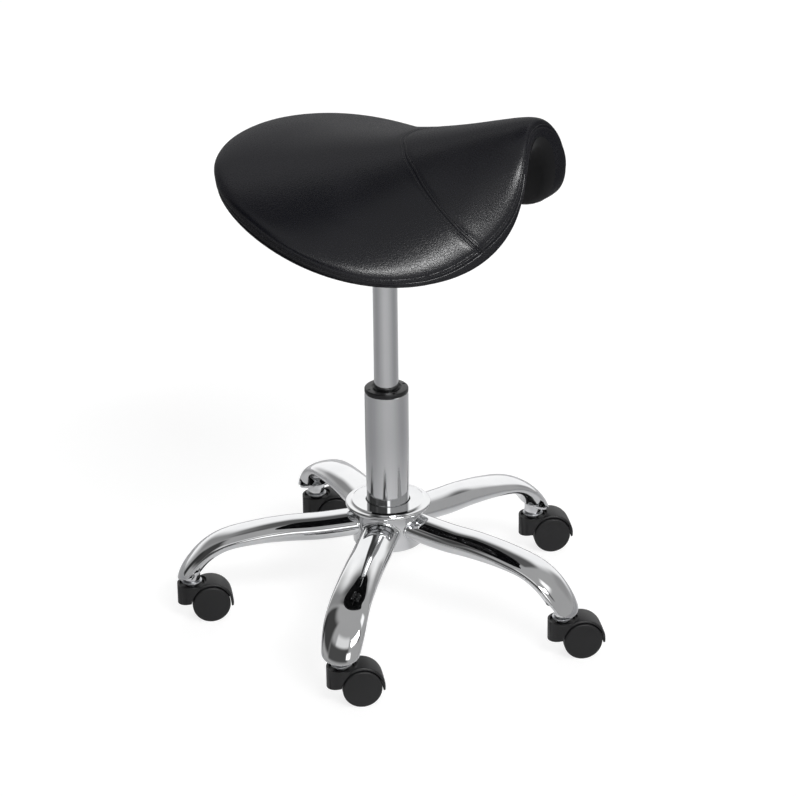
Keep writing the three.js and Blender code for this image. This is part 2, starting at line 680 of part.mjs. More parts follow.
// The top skin over a place of the flat pattern: forward along the seat, and sideways from the crest
function onTopSkin(forward, sideways) {
  const slope = degToRad(alongSeat(sideSlopeLaw, forward));
  const bendLength = lerp(bendLengthRear, bendLengthFront,
    (forward + rearReach) / (rearReach + frontReach));
  const reach = Math.abs(sideways);
  let [across, drop] = [0, 0];
  for (let sample = 0; sample < slopeSamples; sample += 1) {
    const angle = slope * Math.tanh((reach * (sample + 0.5)) / slopeSamples / bendLength);
    across += (Math.cos(angle) * reach) / slopeSamples;
    drop += (Math.sin(angle) * reach) / slopeSamples;
  }
  return new THREE.Vector3(across * Math.sign(sideways), -forward,
    crestZ + alongSeat(crestLaw, forward) - drop);
}

const tangentStep = topRoll / 20;

// A place at a depth under the top skin, square to it
function inSaddle(forward, sideways, depth) {
  const along = onTopSkin(forward + tangentStep, sideways).sub(onTopSkin(forward - tangentStep, sideways));
  const across = onTopSkin(forward, sideways + tangentStep).sub(onTopSkin(forward, sideways - tangentStep));
  const normal = across.cross(along).normalize();
  if (normal.z < 0) normal.negate();
  return onTopSkin(forward, sideways).addScaledVector(normal, -depth);
}

function outlineAt(turn) {
  const forward = saddleHalfLength * lengthShares.reduce((sum, share, k) => sum + share * Math.cos(k * turn), 0);
  const sideways = saddleHalfWidth
    * widthShares.reduce((sum, share, k) => sum + share * Math.sin((k + 1) * turn), 0);
  return new THREE.Vector2(forward, sideways);
}

// A ring of the saddle: drawn in from the outline by an inset, then scaled about the middle, at a depth.
// The roll and the depth follow the thickness at their place.
function saddleRing({ roll = 0, inset = 0, scale = 1, depth }) {
  const turnStep = Math.PI / outlineSteps / 8;
  return Array.from({ length: outlineSteps }, (_, step) => {
    const turn = (step / outlineSteps) * 2 * Math.PI;
    const edge = outlineAt(turn);
    const ahead = outlineAt(turn + turnStep).sub(outlineAt(turn - turnStep)).normalize();
    const outward = new THREE.Vector2(-ahead.y, ahead.x).negate();
    const thickness = alongSeat(thicknessLaw, edge.x * scale);
    const drawnIn = roll * (alongSeat(thicknessLaw, edge.x) / thicknessMiddle) + inset;
    edge.addScaledVector(outward, -drawnIn).multiplyScalar(scale);
    return inSaddle(edge.x, edge.y, depth(thickness));
  });
}

const shares = (steps) => Array.from({ length: steps }, (_, step) => (step + 1) / steps);
const quarterTurns = (steps) => shares(steps).map((share) => (share * Math.PI) / 2);
const layersDepth = shellThickness + coverThickness + clearance * 2;
const shellTop = (thickness) => thickness - layersDepth;
const edgeInset = rimLip + clearance;

// A layer of even thickness, from its top depth to its bottom depth
function saddleLayer(inset, top, bottom, middleTop, middleBottom) {
  const rising = shares(layerSteps).map((scale) => saddleRing({ roll: bottomRoll, inset, scale, depth: top }));
  const falling = shares(layerSteps).reverse()
    .map((scale) => saddleRing({ roll: bottomRoll, inset, scale, depth: bottom }));
  return loft([...rising, ...falling], inSaddle(0, 0, middleTop), inSaddle(0, 0, middleBottom),
    rising.length - 1);
}

const settlingRounds = 20;

// The height of a layer over a place of the plan, found by stepping the flat place towards it
function heightOver(x, y, depth) {
  const flat = new THREE.Vector2(-y, x);
  const under = () => inSaddle(flat.x, flat.y, depth(alongSeat(thicknessLaw, flat.x)));
  for (let round = 0; round < settlingRounds; round += 1) {
    const place = under();
    flat.x += place.y - y;
    flat.y += x - place.x;
  }
  return under().z;
}

function shellBoss(x, y) {
  const depth = (thickness) => shellTop(thickness) + shellThickness / 2;
  const low = plateTopZ + clearance;
  const circle = Array.from({ length: smallSides }, (_, step) => {
    const turn = (step / smallSides) * 2 * Math.PI;
    return [x + bossRadius * Math.cos(turn), y + bossRadius * Math.sin(turn)];
  });
  const bottom = circle.map(([px, py]) => new THREE.Vector3(px, py, low));
  const top = circle.map(([px, py]) => new THREE.Vector3(px, py, heightOver(px, py, depth)));
  return loft([bottom, top], new THREE.Vector3(x, y, low), new THREE.Vector3(x, y, heightOver(x, y, depth)));
}

function buildSaddle() {
  const topRings = shares(crownSteps).map((scale) => saddleRing({ roll: topRoll, scale, depth: () => 0 }));
  const upperRim = quarterTurns(topRollSteps).map((turn) => saddleRing({
    roll: topRoll * (1 - Math.sin(turn)), depth: (t) => t * widestShare * (1 - Math.cos(turn)),
  }));
  const lowerRim = quarterTurns(bottomRollSteps).map((turn) => saddleRing({
    roll: bottomRoll * (1 - Math.cos(turn)),
    depth: (t) => t * (widestShare + (1 - widestShare) * Math.sin(turn)),
  }));
  const lip = saddleRing({ roll: bottomRoll, inset: rimLip, depth: (t) => t });
  const inside = shares(layerSteps).reverse().map((scale) => saddleRing({
    roll: bottomRoll, inset: rimLip, scale, depth: shellTop,
  }));
  const middle = thicknessMiddle;
  const rim = [...topRings, ...upperRim, ...lowerRim, lip];
  const pad = loft([...rim, ...inside], inSaddle(0, 0, 0), inSaddle(0, 0, shellTop(middle)), rim.length);
  addPart(stool, 'seat_pad', pad, leather());

  const top = (t) => shellTop(t) + clearance;
  const bottom = (t) => top(t) + shellThickness;
  let shell = saddleLayer(edgeInset, top, bottom, top(middle), bottom(middle));
  const coverTop = (t) => bottom(t) + clearance;
  const coverBottom = (t) => coverTop(t) + coverThickness;
  const coverHole = (bossRadius + clearance) / Math.cos(Math.PI / smallSides);
  let cover = saddleLayer(edgeInset, coverTop, coverBottom, coverTop(middle), coverBottom(middle));
  screwPlaces().forEach(([x, y]) => {
    shell = shell.add(shellBoss(x, y));
    cover = cover.subtract(drum(coverHole, plateZ, crestZ, smallSides).translate([x, y, 0]));
  });
  screwPlaces().forEach(([x, y]) => {
    const bore = drum(screwRadius + clearance, plateZ, plateTopZ + screwBite + clearance, smallSides);
    shell = shell.subtract(bore.translate([x, y, 0]));
  });
  addPart(stool, 'seat_shell', shell, plywood());
  addPart(stool, 'under_cover', cover, coverCloth());
}

buildHub();
buildArms();
buildCasters();
buildLift();
buildMechanism();
buildSaddle();

// The stool stands centred on its footprint: the column is a little off the middle of the box that it fills
stool.updateMatrixWorld(true);
const filled = new THREE.Box3().setFromObject(stool, true);
const middle = filled.getCenter(new THREE.Vector3());
stool.position.set(-middle.x, -middle.y, 0);

export default stool;
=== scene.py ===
# A saddle stool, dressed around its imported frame.
# Metres, +Z up, standing on z = 0. The sitter faces -Y and the sitter's right hand is towards -X.
import math

import bpy
from mathutils import Matrix, Vector
from mathutils.bvhtree import BVHTree
from mathutils.kdtree import KDTree


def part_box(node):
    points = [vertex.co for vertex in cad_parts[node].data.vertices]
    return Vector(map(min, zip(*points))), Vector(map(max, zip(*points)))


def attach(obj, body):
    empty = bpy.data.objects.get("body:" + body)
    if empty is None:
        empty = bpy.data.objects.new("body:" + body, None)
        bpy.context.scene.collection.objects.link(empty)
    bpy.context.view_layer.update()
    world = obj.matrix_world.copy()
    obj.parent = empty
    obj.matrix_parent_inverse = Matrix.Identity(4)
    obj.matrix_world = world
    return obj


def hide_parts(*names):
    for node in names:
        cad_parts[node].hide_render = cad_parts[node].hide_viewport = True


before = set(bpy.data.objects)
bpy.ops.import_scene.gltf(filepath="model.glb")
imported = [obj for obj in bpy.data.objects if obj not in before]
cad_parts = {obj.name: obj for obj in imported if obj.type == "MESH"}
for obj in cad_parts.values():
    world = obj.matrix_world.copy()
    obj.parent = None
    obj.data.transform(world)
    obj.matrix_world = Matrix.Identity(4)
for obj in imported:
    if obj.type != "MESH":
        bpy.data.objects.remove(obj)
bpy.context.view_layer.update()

CASTERS = range(1, 6)
SCREWS = range(1, 5)


def middle_of(node):
    low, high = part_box(node)
    return (low + high) / 2


def heights(node):
    low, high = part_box(node)
    return low.z, high.z


def radius_of(node):
    low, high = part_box(node)
    return (high.x - low.x) / 2


AXIS = Vector((middle_of("column_tube").x, middle_of("column_tube").y, 0))

# Camera
CAMERA_DISTANCE = 3.2901
CAMERA_HEIGHT = 1.7352
CAMERA_AZIMUTH = math.radians(67.6)
CAMERA_PITCH = math.radians(24.058)
CAMERA_YAW = math.radians(0.2265)
CAMERA_ROLL = math.radians(-0.7222)
SENSOR_WIDTH = 36
FOCAL_LENGTH = 143.78


def make_camera():
    towards = Vector((-math.sin(CAMERA_AZIMUTH), -math.cos(CAMERA_AZIMUTH), 0))
    turn = (Matrix.Rotation(-CAMERA_AZIMUTH - CAMERA_YAW, 3, "Z")
            @ Matrix.Rotation(math.pi / 2 - CAMERA_PITCH, 3, "X")
            @ Matrix.Rotation(CAMERA_ROLL, 3, "Z"))
    place = AXIS + towards * CAMERA_DISTANCE + Vector((0, 0, CAMERA_HEIGHT))
    bpy.ops.object.camera_add(location=place, rotation=turn.to_euler())
    camera = bpy.context.object
    camera.data.sensor_width = SENSOR_WIDTH
    camera.data.lens = FOCAL_LENGTH
    bpy.context.scene.camera = camera
    return towards


# Shader expressions

MIX_SOCKETS = {"FLOAT": (2, 3, 0), "VECTOR": (4, 5, 1), "RGBA": (6, 7, 2)}


class Socket:
    """One output of a node. Arithmetic on it adds Math nodes; node() adds any other kind."""

    def __init__(self, output):
        self.output = output
        self.tree = output.id_data

    def math(self, operation, *values):
        settings = {"operation": operation}
        return add_node(self.tree, "ShaderNodeMath", settings, dict(enumerate((self, *values))))

    def __add__(self, other):
        return self.math("ADD", other)

    def __radd__(self, other):
        return self.math("ADD", other)

    def __mul__(self, other):
        return self.math("MULTIPLY", other)

    def __rmul__(self, other):
        return self.math("MULTIPLY", other)

    def __sub__(self, other):
        return self.math("SUBTRACT", other)

    def __rsub__(self, other):
        return (self * -1) + other

    def __truediv__(self, other):
        return self.math("DIVIDE", other)

    def between(self, low, high):
        """Rises smoothly from 0 to 1 as the value goes from low to high."""
        settings = {"interpolation_type": "SMOOTHSTEP", "clamp": True}
        return add_node(self.tree, "ShaderNodeMapRange", settings, {"Value": self, 1: low, 2: high})

    def mix(self, first, second, kind="RGBA"):
        """From the first to the second as this value goes from 0 to 1."""
        low, high, result = MIX_SOCKETS[kind]
        sockets = {0: self, low: first, high: second}
        return add_node(self.tree, "ShaderNodeMix", {"data_type": kind}, sockets, result)


def add_node(tree, kind, settings=None, sockets=None, result=0):
    """Adds a node: its settings first, then the values or links of its sockets."""
    node = tree.nodes.new(kind)
    for name, value in (settings or {}).items():
        setattr(node, name, value)
    for name, value in (sockets or {}).items():
        if isinstance(value, Socket):
            tree.links.new(value.output, node.inputs[name])
        else:
            node.inputs[name].default_value = value
    return Socket(node.outputs[result]) if node.outputs else node


class Finish:
    """A material built round one Principled shader, on Object coordinates."""

    def __init__(self, name, **plain):
        self.material = bpy.data.materials.new(name)
        self.material.use_nodes = True
        self.tree = self.material.node_tree
        self.shader = self.tree.nodes["Principled BSDF"]
        self.place = add_node(self.tree, "ShaderNodeTexCoord", result=3)
        for socket, value in plain.items():
            self.shader.inputs[socket.replace("_", " ")].default_value = value

    def node(self, kind, settings=None, sockets=None, result=0):
        return add_node(self.tree, kind, settings, sockets, result)

    def stretched(self, scale):
        return self.node("ShaderNodeMapping", None, {"Vector": self.place, "Scale": scale})

    def noise(self, scale, detail=3.0, roughness=0.5, vector=None):
        sockets = {"Vector": vector or self.place, "Scale": scale, "Detail": detail, "Roughness": roughness}
        return self.node("ShaderNodeTexNoise", None, sockets)

    def cells(self, scale, feature="F1", randomness=1.0, vector=None):
        sockets = {"Vector": vector or self.place, "Scale": scale, "Randomness": randomness}
        return self.node("ShaderNodeTexVoronoi", {"feature": feature}, sockets)

    def drive(self, socket, value):
        self.tree.links.new(value.output, self.shader.inputs[socket])

    def dulled(self, share):
        """Mixes in the same finish without its gloss."""
        matt = self.node("ShaderNodeBsdfPrincipled", None, {"Roughness": 0.7, "Specular IOR Level": 0.04})
        for socket in ("Base Color", "Normal"):
            source = self.shader.inputs[socket].links[0].from_socket
            self.tree.links.new(source, matt.output.node.inputs[socket])
        glossy = Socket(self.shader.outputs[0])
        mixed = self.node("ShaderNodeMixShader", None, {0: share, 1: glossy, 2: matt})
        self.tree.links.new(mixed.output, self.tree.nodes["Material Output"].inputs["Surface"])

    def bump(self, *layers):
        """Each layer is a height, its distance in metres and its strength."""
        normal = None
        for height, distance, strength in layers:
            sockets = {"Height": height, "Distance": distance, "Strength": strength}
            if normal:
                sockets["Normal"] = normal
            normal = self.node("ShaderNodeBump", None, sockets)
        self.drive("Normal", normal)


def colour(red, green, blue):
    return (red, green, blue, 1)


# Finishes

LEATHER_DULLING = 0.85


def black_leather():
    """Grained leather: pebbles between creases, glossier where it is stretched, matt at a low angle."""
    finish = Finish("black leather", Specular_IOR_Level=0.5)
    broad = finish.noise(9, detail=4)
    fine = finish.noise(1500, detail=2)
    pebbles = finish.cells(620, "SMOOTH_F1")
    creases = finish.cells(330, "DISTANCE_TO_EDGE").between(0.0, 0.16)
    wrinkles = finish.noise(70, detail=5, roughness=0.6)
    worn = broad.between(0.42, 0.66)
    tone = worn.mix(colour(0.0030, 0.0032, 0.0062), colour(0.0050, 0.0051, 0.0086))
    # The base colour is darker in the creases: painted shade.
    finish.drive("Base Color", (creases * 0.35 + 0.65).mix(colour(0.0030, 0.0030, 0.0034), tone))
    finish.drive("Roughness", 0.21 + worn * 0.04 + fine * 0.05 + (1 - creases) * 0.08)
    grain = pebbles * -1 + creases * 0.5
    finish.bump((wrinkles, 0.0006, 0.15), (grain, 0.00016, 0.36), (fine, 0.00006, 0.25))
    low_angle = finish.node("ShaderNodeLayerWeight", None, {"Blend": 0.5}, result=1)
    finish.dulled(low_angle.between(0.12, 0.62) * LEATHER_DULLING)
    return finish.material


def leather_thread():
    finish = Finish("waxed black thread", Roughness=0.55)
    plies = finish.noise(2600, detail=1)
    finish.drive("Base Color", plies.mix(colour(0.008, 0.008, 0.009), colour(0.03, 0.03, 0.033)))
    finish.bump((plies, 0.0001, 0.6))
    return finish.material


def mirror_chrome():
    finish = Finish("mirror chrome", Metallic=1.0)
    cloud = finish.noise(26, detail=4)
    specks = finish.noise(900, detail=2)
    tone = cloud.between(0.3, 0.7).mix(colour(0.70, 0.705, 0.715), colour(0.74, 0.745, 0.75))
    finish.drive("Base Color", tone)
    finish.drive("Roughness", 0.025 + cloud.between(0.45, 0.8) * 0.03 + specks.between(0.66, 0.8) * 0.05)
    finish.bump((cloud, 0.0004, 0.06), (specks, 0.00002, 0.05))
    return finish.material


def polished_tube():
    finish = Finish("polished tube", Metallic=1.0)
    drawn = finish.noise(420, detail=3, vector=finish.stretched((1, 1, 0.015)))
    cloud = finish.noise(18, detail=3)
    finish.drive("Base Color", drawn.mix(colour(0.66, 0.665, 0.675), colour(0.72, 0.725, 0.73)))
    finish.drive("Roughness", 0.07 + drawn.between(0.4, 0.8) * 0.05 + cloud * 0.03)
    finish.bump((drawn, 0.00003, 0.15))
    return finish.material


def zinc_plate():
    finish = Finish("zinc plate", Metallic=1.0)
    crystals = finish.cells(240, "F1")
    cloud = finish.noise(60, detail=4)
    finish.drive("Base Color", crystals.mix(colour(0.50, 0.51, 0.53), colour(0.66, 0.67, 0.68)))
    finish.drive("Roughness", 0.24 + cloud * 0.2)
    finish.bump((cloud, 0.0001, 0.2))
    return finish.material


def moulded_nylon(name, dark, light, roughness):
    """Black moulded plastic with a fine spark-eroded texture and scuffs."""
    finish = Finish(name, Specular_IOR_Level=0.45)
    texture = finish.noise(2400, detail=2, roughness=0.6)
    scuffs = finish.noise(45, detail=6, roughness=0.7).between(0.55, 0.75)
    finish.drive("Base Color", scuffs.mix(dark, light))
    finish.drive("Roughness", roughness + texture * 0.08 - scuffs * 0.06)
    finish.bump((texture, 0.00008, 0.5))
    return finish.material


def dust_cloth():
    """Thin black non-woven cloth with pressed points."""
    finish = Finish("dust cloth", Sheen_Weight=0.04, Sheen_Roughness=0.5, Specular_IOR_Level=0.15)
    fibres = finish.noise(900, detail=4, roughness=0.7)
    points = finish.cells(420, "F1", randomness=0.0).between(0.18, 0.34)
    finish.drive("Base Color", fibres.mix(colour(0.0020, 0.0020, 0.0026), colour(0.0060, 0.0060, 0.0072)))
    finish.drive("Roughness", 0.7 + fibres * 0.2)
    finish.bump((points, 0.0001, 0.5), (fibres, 0.00012, 0.5))
    return finish.material


def painted_steel():
    """Black powder coat with its orange-peel skin."""
    finish = Finish("black powder coat")
    peel = finish.noise(520, detail=2)
    cloud = finish.noise(30, detail=3)
    finish.drive("Base Color", cloud.mix(colour(0.010, 0.010, 0.011), colour(0.018, 0.018, 0.019)))
    finish.drive("Roughness", 0.34 + peel * 0.12)
    finish.bump((peel, 0.0001, 0.35))
    return finish.material


def rubber():
    finish = Finish("bump rubber")
    grain = finish.noise(700, detail=3)
    finish.drive("Base Color", grain.mix(colour(0.012, 0.012, 0.012), colour(0.022, 0.022, 0.022)))
    finish.drive("Roughness", 0.75 + grain * 0.15)
    finish.bump((grain, 0.0001, 0.4))
    return finish.material


def birch_plywood():
    """Bent birch plywood: wood grain along the seat and dark glue lines between the plies."""
    finish = Finish("birch plywood")
    grain = finish.noise(34, detail=6, roughness=0.62, vector=finish.stretched((1, 0.07, 1)))
    pores = finish.noise(600, detail=2, vector=finish.stretched((1, 0.05, 1)))
    tone = grain.between(0.3, 0.7).mix(colour(0.33, 0.20, 0.10), colour(0.52, 0.36, 0.21))
    finish.drive("Base Color", (pores.between(0.6, 0.72) * 0.5).mix(tone, colour(0.16, 0.09, 0.04)))
    finish.drive("Roughness", 0.5 + grain * 0.2)
    finish.bump((pores, 0.0001, 0.4))
    return finish.material


LEATHER = black_leather()
THREAD = leather_thread()
CHROME = mirror_chrome()
TUBE_CHROME = polished_tube()
ZINC = zinc_plate()
NYLON = moulded_nylon("caster nylon", colour(0.0070, 0.0070, 0.0076), colour(0.0105, 0.0105, 0.0114), 0.46)
PLASTIC = moulded_nylon("black plastic", colour(0.0065, 0.0065, 0.0070), colour(0.0100, 0.0100, 0.0108), 0.36)
CLOTH = dust_cloth()
PAINT = painted_steel()
RUBBER = rubber()
PLYWOOD = birch_plywood()

# Modelling

WELD = 0.00001
MARGIN = 0.002
TURNED_SIDES = 96
ROUND_SIDES = 128
SMOOTH_ANGLE = 40
EDGE = 0.0004
FINE_EDGE = 0.0003
POLE_RADIUS = 0.0006


def fresh(*pieces):
    """Leaves only these pieces selected, the last one active."""
    bpy.ops.object.select_all(action="DESELECT")
    for piece in pieces:
        piece.select_set(True)
        bpy.context.view_layer.objects.active = piece


def edit_all():
    bpy.ops.object.mode_set(mode="EDIT")
    bpy.ops.mesh.select_all(action="SELECT")


def object_mode():
    bpy.ops.object.mode_set(mode="OBJECT")


def smooth(piece, angle=SMOOTH_ANGLE):
    fresh(piece)
    bpy.ops.object.shade_smooth_by_angle(angle=math.radians(angle))
    return piece


def modify(piece, kind, **settings):
    """Adds a modifier and applies it at once."""
    fresh(piece)
    modifier = piece.modifiers.new(kind.lower(), kind)
    for name, value in settings.items():
        setattr(modifier, name, value)
    bpy.ops.object.modifier_apply(modifier=modifier.name)
    return piece


def eased(piece, width, segments=3, angle=30):
    return modify(piece, "BEVEL", width=width, segments=segments, limit_method="ANGLE",
                  angle_limit=math.radians(angle))


def baked(piece, name=None):
    """Puts the piece's place into its mesh and gives it its name."""
    fresh(piece)
    bpy.ops.object.transform_apply(location=True, rotation=True, scale=True)
    if name:
        piece.name = name
        piece.data.name = name
    return piece


def placed(piece, place, turn=0.0):
    piece.location = place
    piece.rotation_euler = (0, 0, turn)
    return baked(piece)


def copied(piece, name):
    """A copy with its own mesh."""
    fresh(piece)
    bpy.ops.object.duplicate()
    twin = bpy.context.object
    twin.name = name
    twin.data.name = name
    return twin


def joined(name, *pieces):
    fresh(*pieces)
    bpy.ops.object.join()
    return baked(bpy.context.object, name)


def cut(piece, *tools, operation="DIFFERENCE"):
    """Cuts the tools out of the piece, or adds them to it, and removes the tools."""
    for tool in tools:
        modify(piece, "BOOLEAN", object=tool, operation=operation, solver="EXACT")
        bpy.data.objects.remove(tool)
    return piece


def turned(name, profile, sides=TURNED_SIDES):
    """A round piece about Z: a ring drawn through (radius, height) points. Open ends are filled flat."""
    fresh()
    (radius, height), *others = profile
    bpy.ops.mesh.primitive_circle_add(vertices=sides, radius=radius, location=(0, 0, height))
    edit_all()
    for next_radius, next_height in others:
        bpy.ops.mesh.extrude_edges_move(TRANSFORM_OT_translate={"value": (0, 0, next_height - height)})
        ratio = next_radius / radius
        bpy.ops.transform.resize(value=(ratio, ratio, 1), center_override=(0, 0, next_height))
        radius, height = next_radius, next_height
    bpy.ops.mesh.select_all(action="SELECT")
    bpy.ops.mesh.remove_doubles(threshold=WELD)
    bpy.ops.mesh.fill_holes(sides=0)
    bpy.ops.mesh.normals_make_consistent(inside=False)
    object_mode()
    return baked(bpy.context.object, name)


def cylinder_y(radius, low, high, x, z, sides=64):
    fresh()
    bpy.ops.mesh.primitive_cylinder_add(vertices=sides, radius=radius, depth=high - low,
                                        location=(x, (low + high) / 2, z), rotation=(math.pi / 2, 0, 0))
    return baked(bpy.context.object)


def cylinder_z(radius, low, high, sides=64):
    fresh()
    bpy.ops.mesh.primitive_cylinder_add(vertices=sides, radius=radius, depth=high - low,
                                        location=(0, 0, (low + high) / 2))
    return baked(bpy.context.object)


def block(low, high):
    fresh()
    low, high = Vector(low), Vector(high)
    bpy.ops.mesh.primitive_cube_add(size=1, location=(low + high) / 2)
    bpy.context.object.dimensions = high - low
    return baked(bpy.context.object)


def ring_profile(bore, radius, low, high):
    return [(bore, low), (bore, high), (radius, high), (radius, low), (bore, low)]


def skin(name, rows):
    """A sheet of quads over rows of points; points that coincide are welded."""
    spans, steps = len(rows) - 1, len(rows[0]) - 1
    fresh()
    bpy.ops.mesh.primitive_grid_add(x_subdivisions=spans, y_subdivisions=steps, size=1)
    sheet = bpy.context.object
    for corner in sheet.data.vertices:
        row, step = round((corner.co.x + 0.5) * spans), round((corner.co.y + 0.5) * steps)
        corner.co = rows[row][step]
    edit_all()
    bpy.ops.mesh.remove_doubles(threshold=WELD)
    bpy.ops.mesh.normals_make_consistent(inside=False)
    object_mode()
    return baked(sheet, name)


def dressed(piece, material, slot, body, *nodes):
    """Gives a piece its finish, its body and the nodes that it stands for. The slot is not used."""
    piece.data.materials.clear()
    piece.data.materials.append(material)
    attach(piece, body)
    if nodes:
        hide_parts(*nodes)
    return piece


def blend(low, high, share):
    return low + (high - low) * share


def capped(piece):
    """Closes the open ends of a tube."""
    fresh(piece)
    edit_all()
    bpy.ops.mesh.fill_holes(sides=0)
    bpy.ops.mesh.normals_make_consistent(inside=False)
    object_mode()
    return piece


def arc(centre, radius, start, end, steps):
    """Points of an arc in a profile, angles in degrees."""
    turns = [math.radians(start + (end - start) * step / steps) for step in range(steps + 1)]
    return [(centre[0] + radius * math.cos(turn), centre[1] + radius * math.sin(turn)) for turn in turns]


# Base: hub, flange, arms

HUB_WALL = 0.003
HUB_ROOF = 0.004
HUB_SLEEVE_WALL = 0.0036
HUB_EDGE = 0.0008
ROD_GAP = 0.0003
FLANGE_TOP_RADIUS = 0.041
FLANGE_LIP = 0.0024
FLANGE_LIP_WALL = 0.0008
FLANGE_EDGE = 0.0006
FLANGE_MOUTH_EDGE = 0.0005
FLANGE_BEVEL_DIP = 0.00045
FLANGE_BEVEL_STEPS = 8
FLANGE_JOINT = 0.0006


def make_hub():
    low, high = heights("hub")
    radius = radius_of("hub")
    bore = radius_of("column_tube") - TUBE_FOOT_STEP + ROD_GAP
    sleeve = bore + HUB_SLEEVE_WALL
    hub = turned("hub_body", [
        (bore, low), (bore, high), (radius, high), (radius, low), (radius - HUB_WALL, low),
        (radius - HUB_WALL, high - HUB_ROOF), (sleeve, high - HUB_ROOF), (sleeve, low), (bore, low),
    ], ROUND_SIDES)
    smooth(eased(hub, HUB_EDGE))
    dressed(placed(hub, AXIS), CHROME, "chromed_steel", "base", "hub")

    _, top = heights("hub_flange")
    seat = high + ROD_GAP
    rim = radius_of("hub_flange")
    bevel_foot = seat + FLANGE_LIP * 1.3
    slope = []
    for step in range(FLANGE_BEVEL_STEPS + 1):
        share = step / FLANGE_BEVEL_STEPS
        dip = FLANGE_BEVEL_DIP * math.sin(math.pi * share)
        slope.append((blend(FLANGE_TOP_RADIUS, rim - FLANGE_LIP, share), blend(top, bevel_foot, share) - dip))
    mouth = bore + FLANGE_JOINT
    lip_inside = rim - FLANGE_LIP - FLANGE_LIP_WALL
    roll_radius = (bevel_foot - seat + FLANGE_LIP * 0.6) / 2
    roll_centre = (rim - roll_radius, bevel_foot - roll_radius)
    flange = turned("hub_cap_flange", [
        (mouth, seat), (mouth, top - FLANGE_EDGE), (mouth + FLANGE_MOUTH_EDGE, top),
        (FLANGE_TOP_RADIUS - FLANGE_EDGE, top),
        *slope, *arc(roll_centre, roll_radius, 78, -90, 14),
        (lip_inside, seat - FLANGE_LIP * 0.6), (lip_inside, seat), (mouth, seat),
    ], ROUND_SIDES)
    smooth(flange, 24)
    dressed(placed(flange, AXIS), CHROME, "chromed_steel", "base", "hub_flange")


# The arm's middle line and section: distance from the column, height, half depth and half width
ARM_STATIONS = [
    (0.0257, 0.1148, 0.0140, 0.0219), (0.0809, 0.1097, 0.0140, 0.0224), (0.1148, 0.1090, 0.0132, 0.0226),
    (0.1535, 0.1054, 0.0112, 0.0230), (0.1886, 0.0978, 0.0096, 0.0236), (0.2086, 0.0866, 0.0094, 0.0241),
    (0.2240, 0.0705, 0.0098, 0.0233), (0.2330, 0.0560, 0.0100, 0.0215), (0.2370, 0.0420, 0.0103, 0.0185),
]
ARM_SPANS = 88
ARM_SIDES = 72
ARM_WALL = 0.002
ARM_EDGE = 0.00045
ARM_ROOT_SINK = 0.0011
ARM_TRIM_SHARE = 0.55
MOUTH_RIM_RADIUS = 0.2473
MOUTH_RIM_HEIGHT = 0.0510
MOUTH_SLOPE = math.radians(33.5)
MOUTH_BACK = 0.010
MOUTH_BACK_SLOPE = math.radians(61)
MOUTH_EASING_ROUNDS = 2
WELD_BEAD = 0.0011
WELD_BEAD_SIDES = 10
HALVINGS = 22


def smooth_point(points, share):
    """A point of the smooth curve through the points, by share of their count (centripetal)."""
    span = min(int(share * (len(points) - 1)), len(points) - 2)
    local = share * (len(points) - 1) - span
    second, third = Vector(points[span]), Vector(points[span + 1])
    first = Vector(points[span - 1]) if span else second * 2 - third
    fourth = Vector(points[span + 2]) if span + 2 < len(points) else third * 2 - second
    gaps = [(end - start).length ** 0.5
            for start, end in ((first, second), (second, third), (third, fourth))]
    start = ((second - first) / gaps[0] - (third - first) / (gaps[0] + gaps[1])
             + (third - second) / gaps[1]) * gaps[1]
    end = ((third - second) / gaps[1] - (fourth - second) / (gaps[1] + gaps[2])
           + (fourth - third) / gaps[2]) * gaps[1]
    square, cube = local * local, local ** 3
    return (second + start * local + (third * 3 - second * 3 - start * 2 - end) * square
            + (second * 2 - third * 2 + start + end) * cube)


def arm_place(share, turn):
    """A place on the arm's skin: along it from hub to tip, and round it."""
    step = 0.0005
    lines = [station[:2] for station in ARM_STATIONS]
    sizes = [station[2:] for station in ARM_STATIONS]
    middle = smooth_point(lines, share)
    ahead, behind = smooth_point(lines, min(share + step, 1)), smooth_point(lines, max(share - step, 0))
    along = (ahead - behind).normalized()
    depth, width = smooth_point(sizes, share)
    outward = Vector((-along.y, 0, along.x))
    return (Vector((middle.x, 0, middle.y)) + Vector((0, width * math.cos(turn), 0))
            + outward * (depth * math.sin(turn)))


def in_mouth(place, stem_radius):
    """Whether a place lies in what the open underside of the tip leaves out."""
    elbow = MOUTH_RIM_HEIGHT + (MOUTH_RIM_RADIUS - stem_radius) * math.tan(MOUTH_SLOPE)
    if place.x < stem_radius - MOUTH_BACK:
        return False
    if place.x < stem_radius:
        return place.z < elbow + (stem_radius - place.x) * math.tan(MOUTH_BACK_SLOPE)
    return place.z < MOUTH_RIM_HEIGHT + max(0, MOUTH_RIM_RADIUS - place.x) * math.tan(MOUTH_SLOPE)


def mouth_share(turn, stem_radius):
    """Where along the arm the skin ends at the mouth, on one line along it."""
    low, high = ARM_TRIM_SHARE, 1.0
    for _ in range(HALVINGS):
        half = (low + high) / 2
        low, high = (low, half) if in_mouth(arm_place(half, turn), stem_radius) else (half, high)
    return high


def root_share(turn, reach):
    """Where along the arm its skin is that far from the column's axis, on one line along it."""
    low, high = 0.0, ARM_TRIM_SHARE
    for _ in range(HALVINGS):
        half = (low + high) / 2
        place = arm_place(half, turn)
        low, high = (half, high) if math.hypot(place.x, place.y) < reach else (low, half)
    return high


def stem_place(index):
    return middle_of(f"caster_stem_{index}") * Vector((1, 1, 0))


def arm_angle(index):
    out = stem_place(index) - AXIS
    return math.atan2(out.y, out.x)


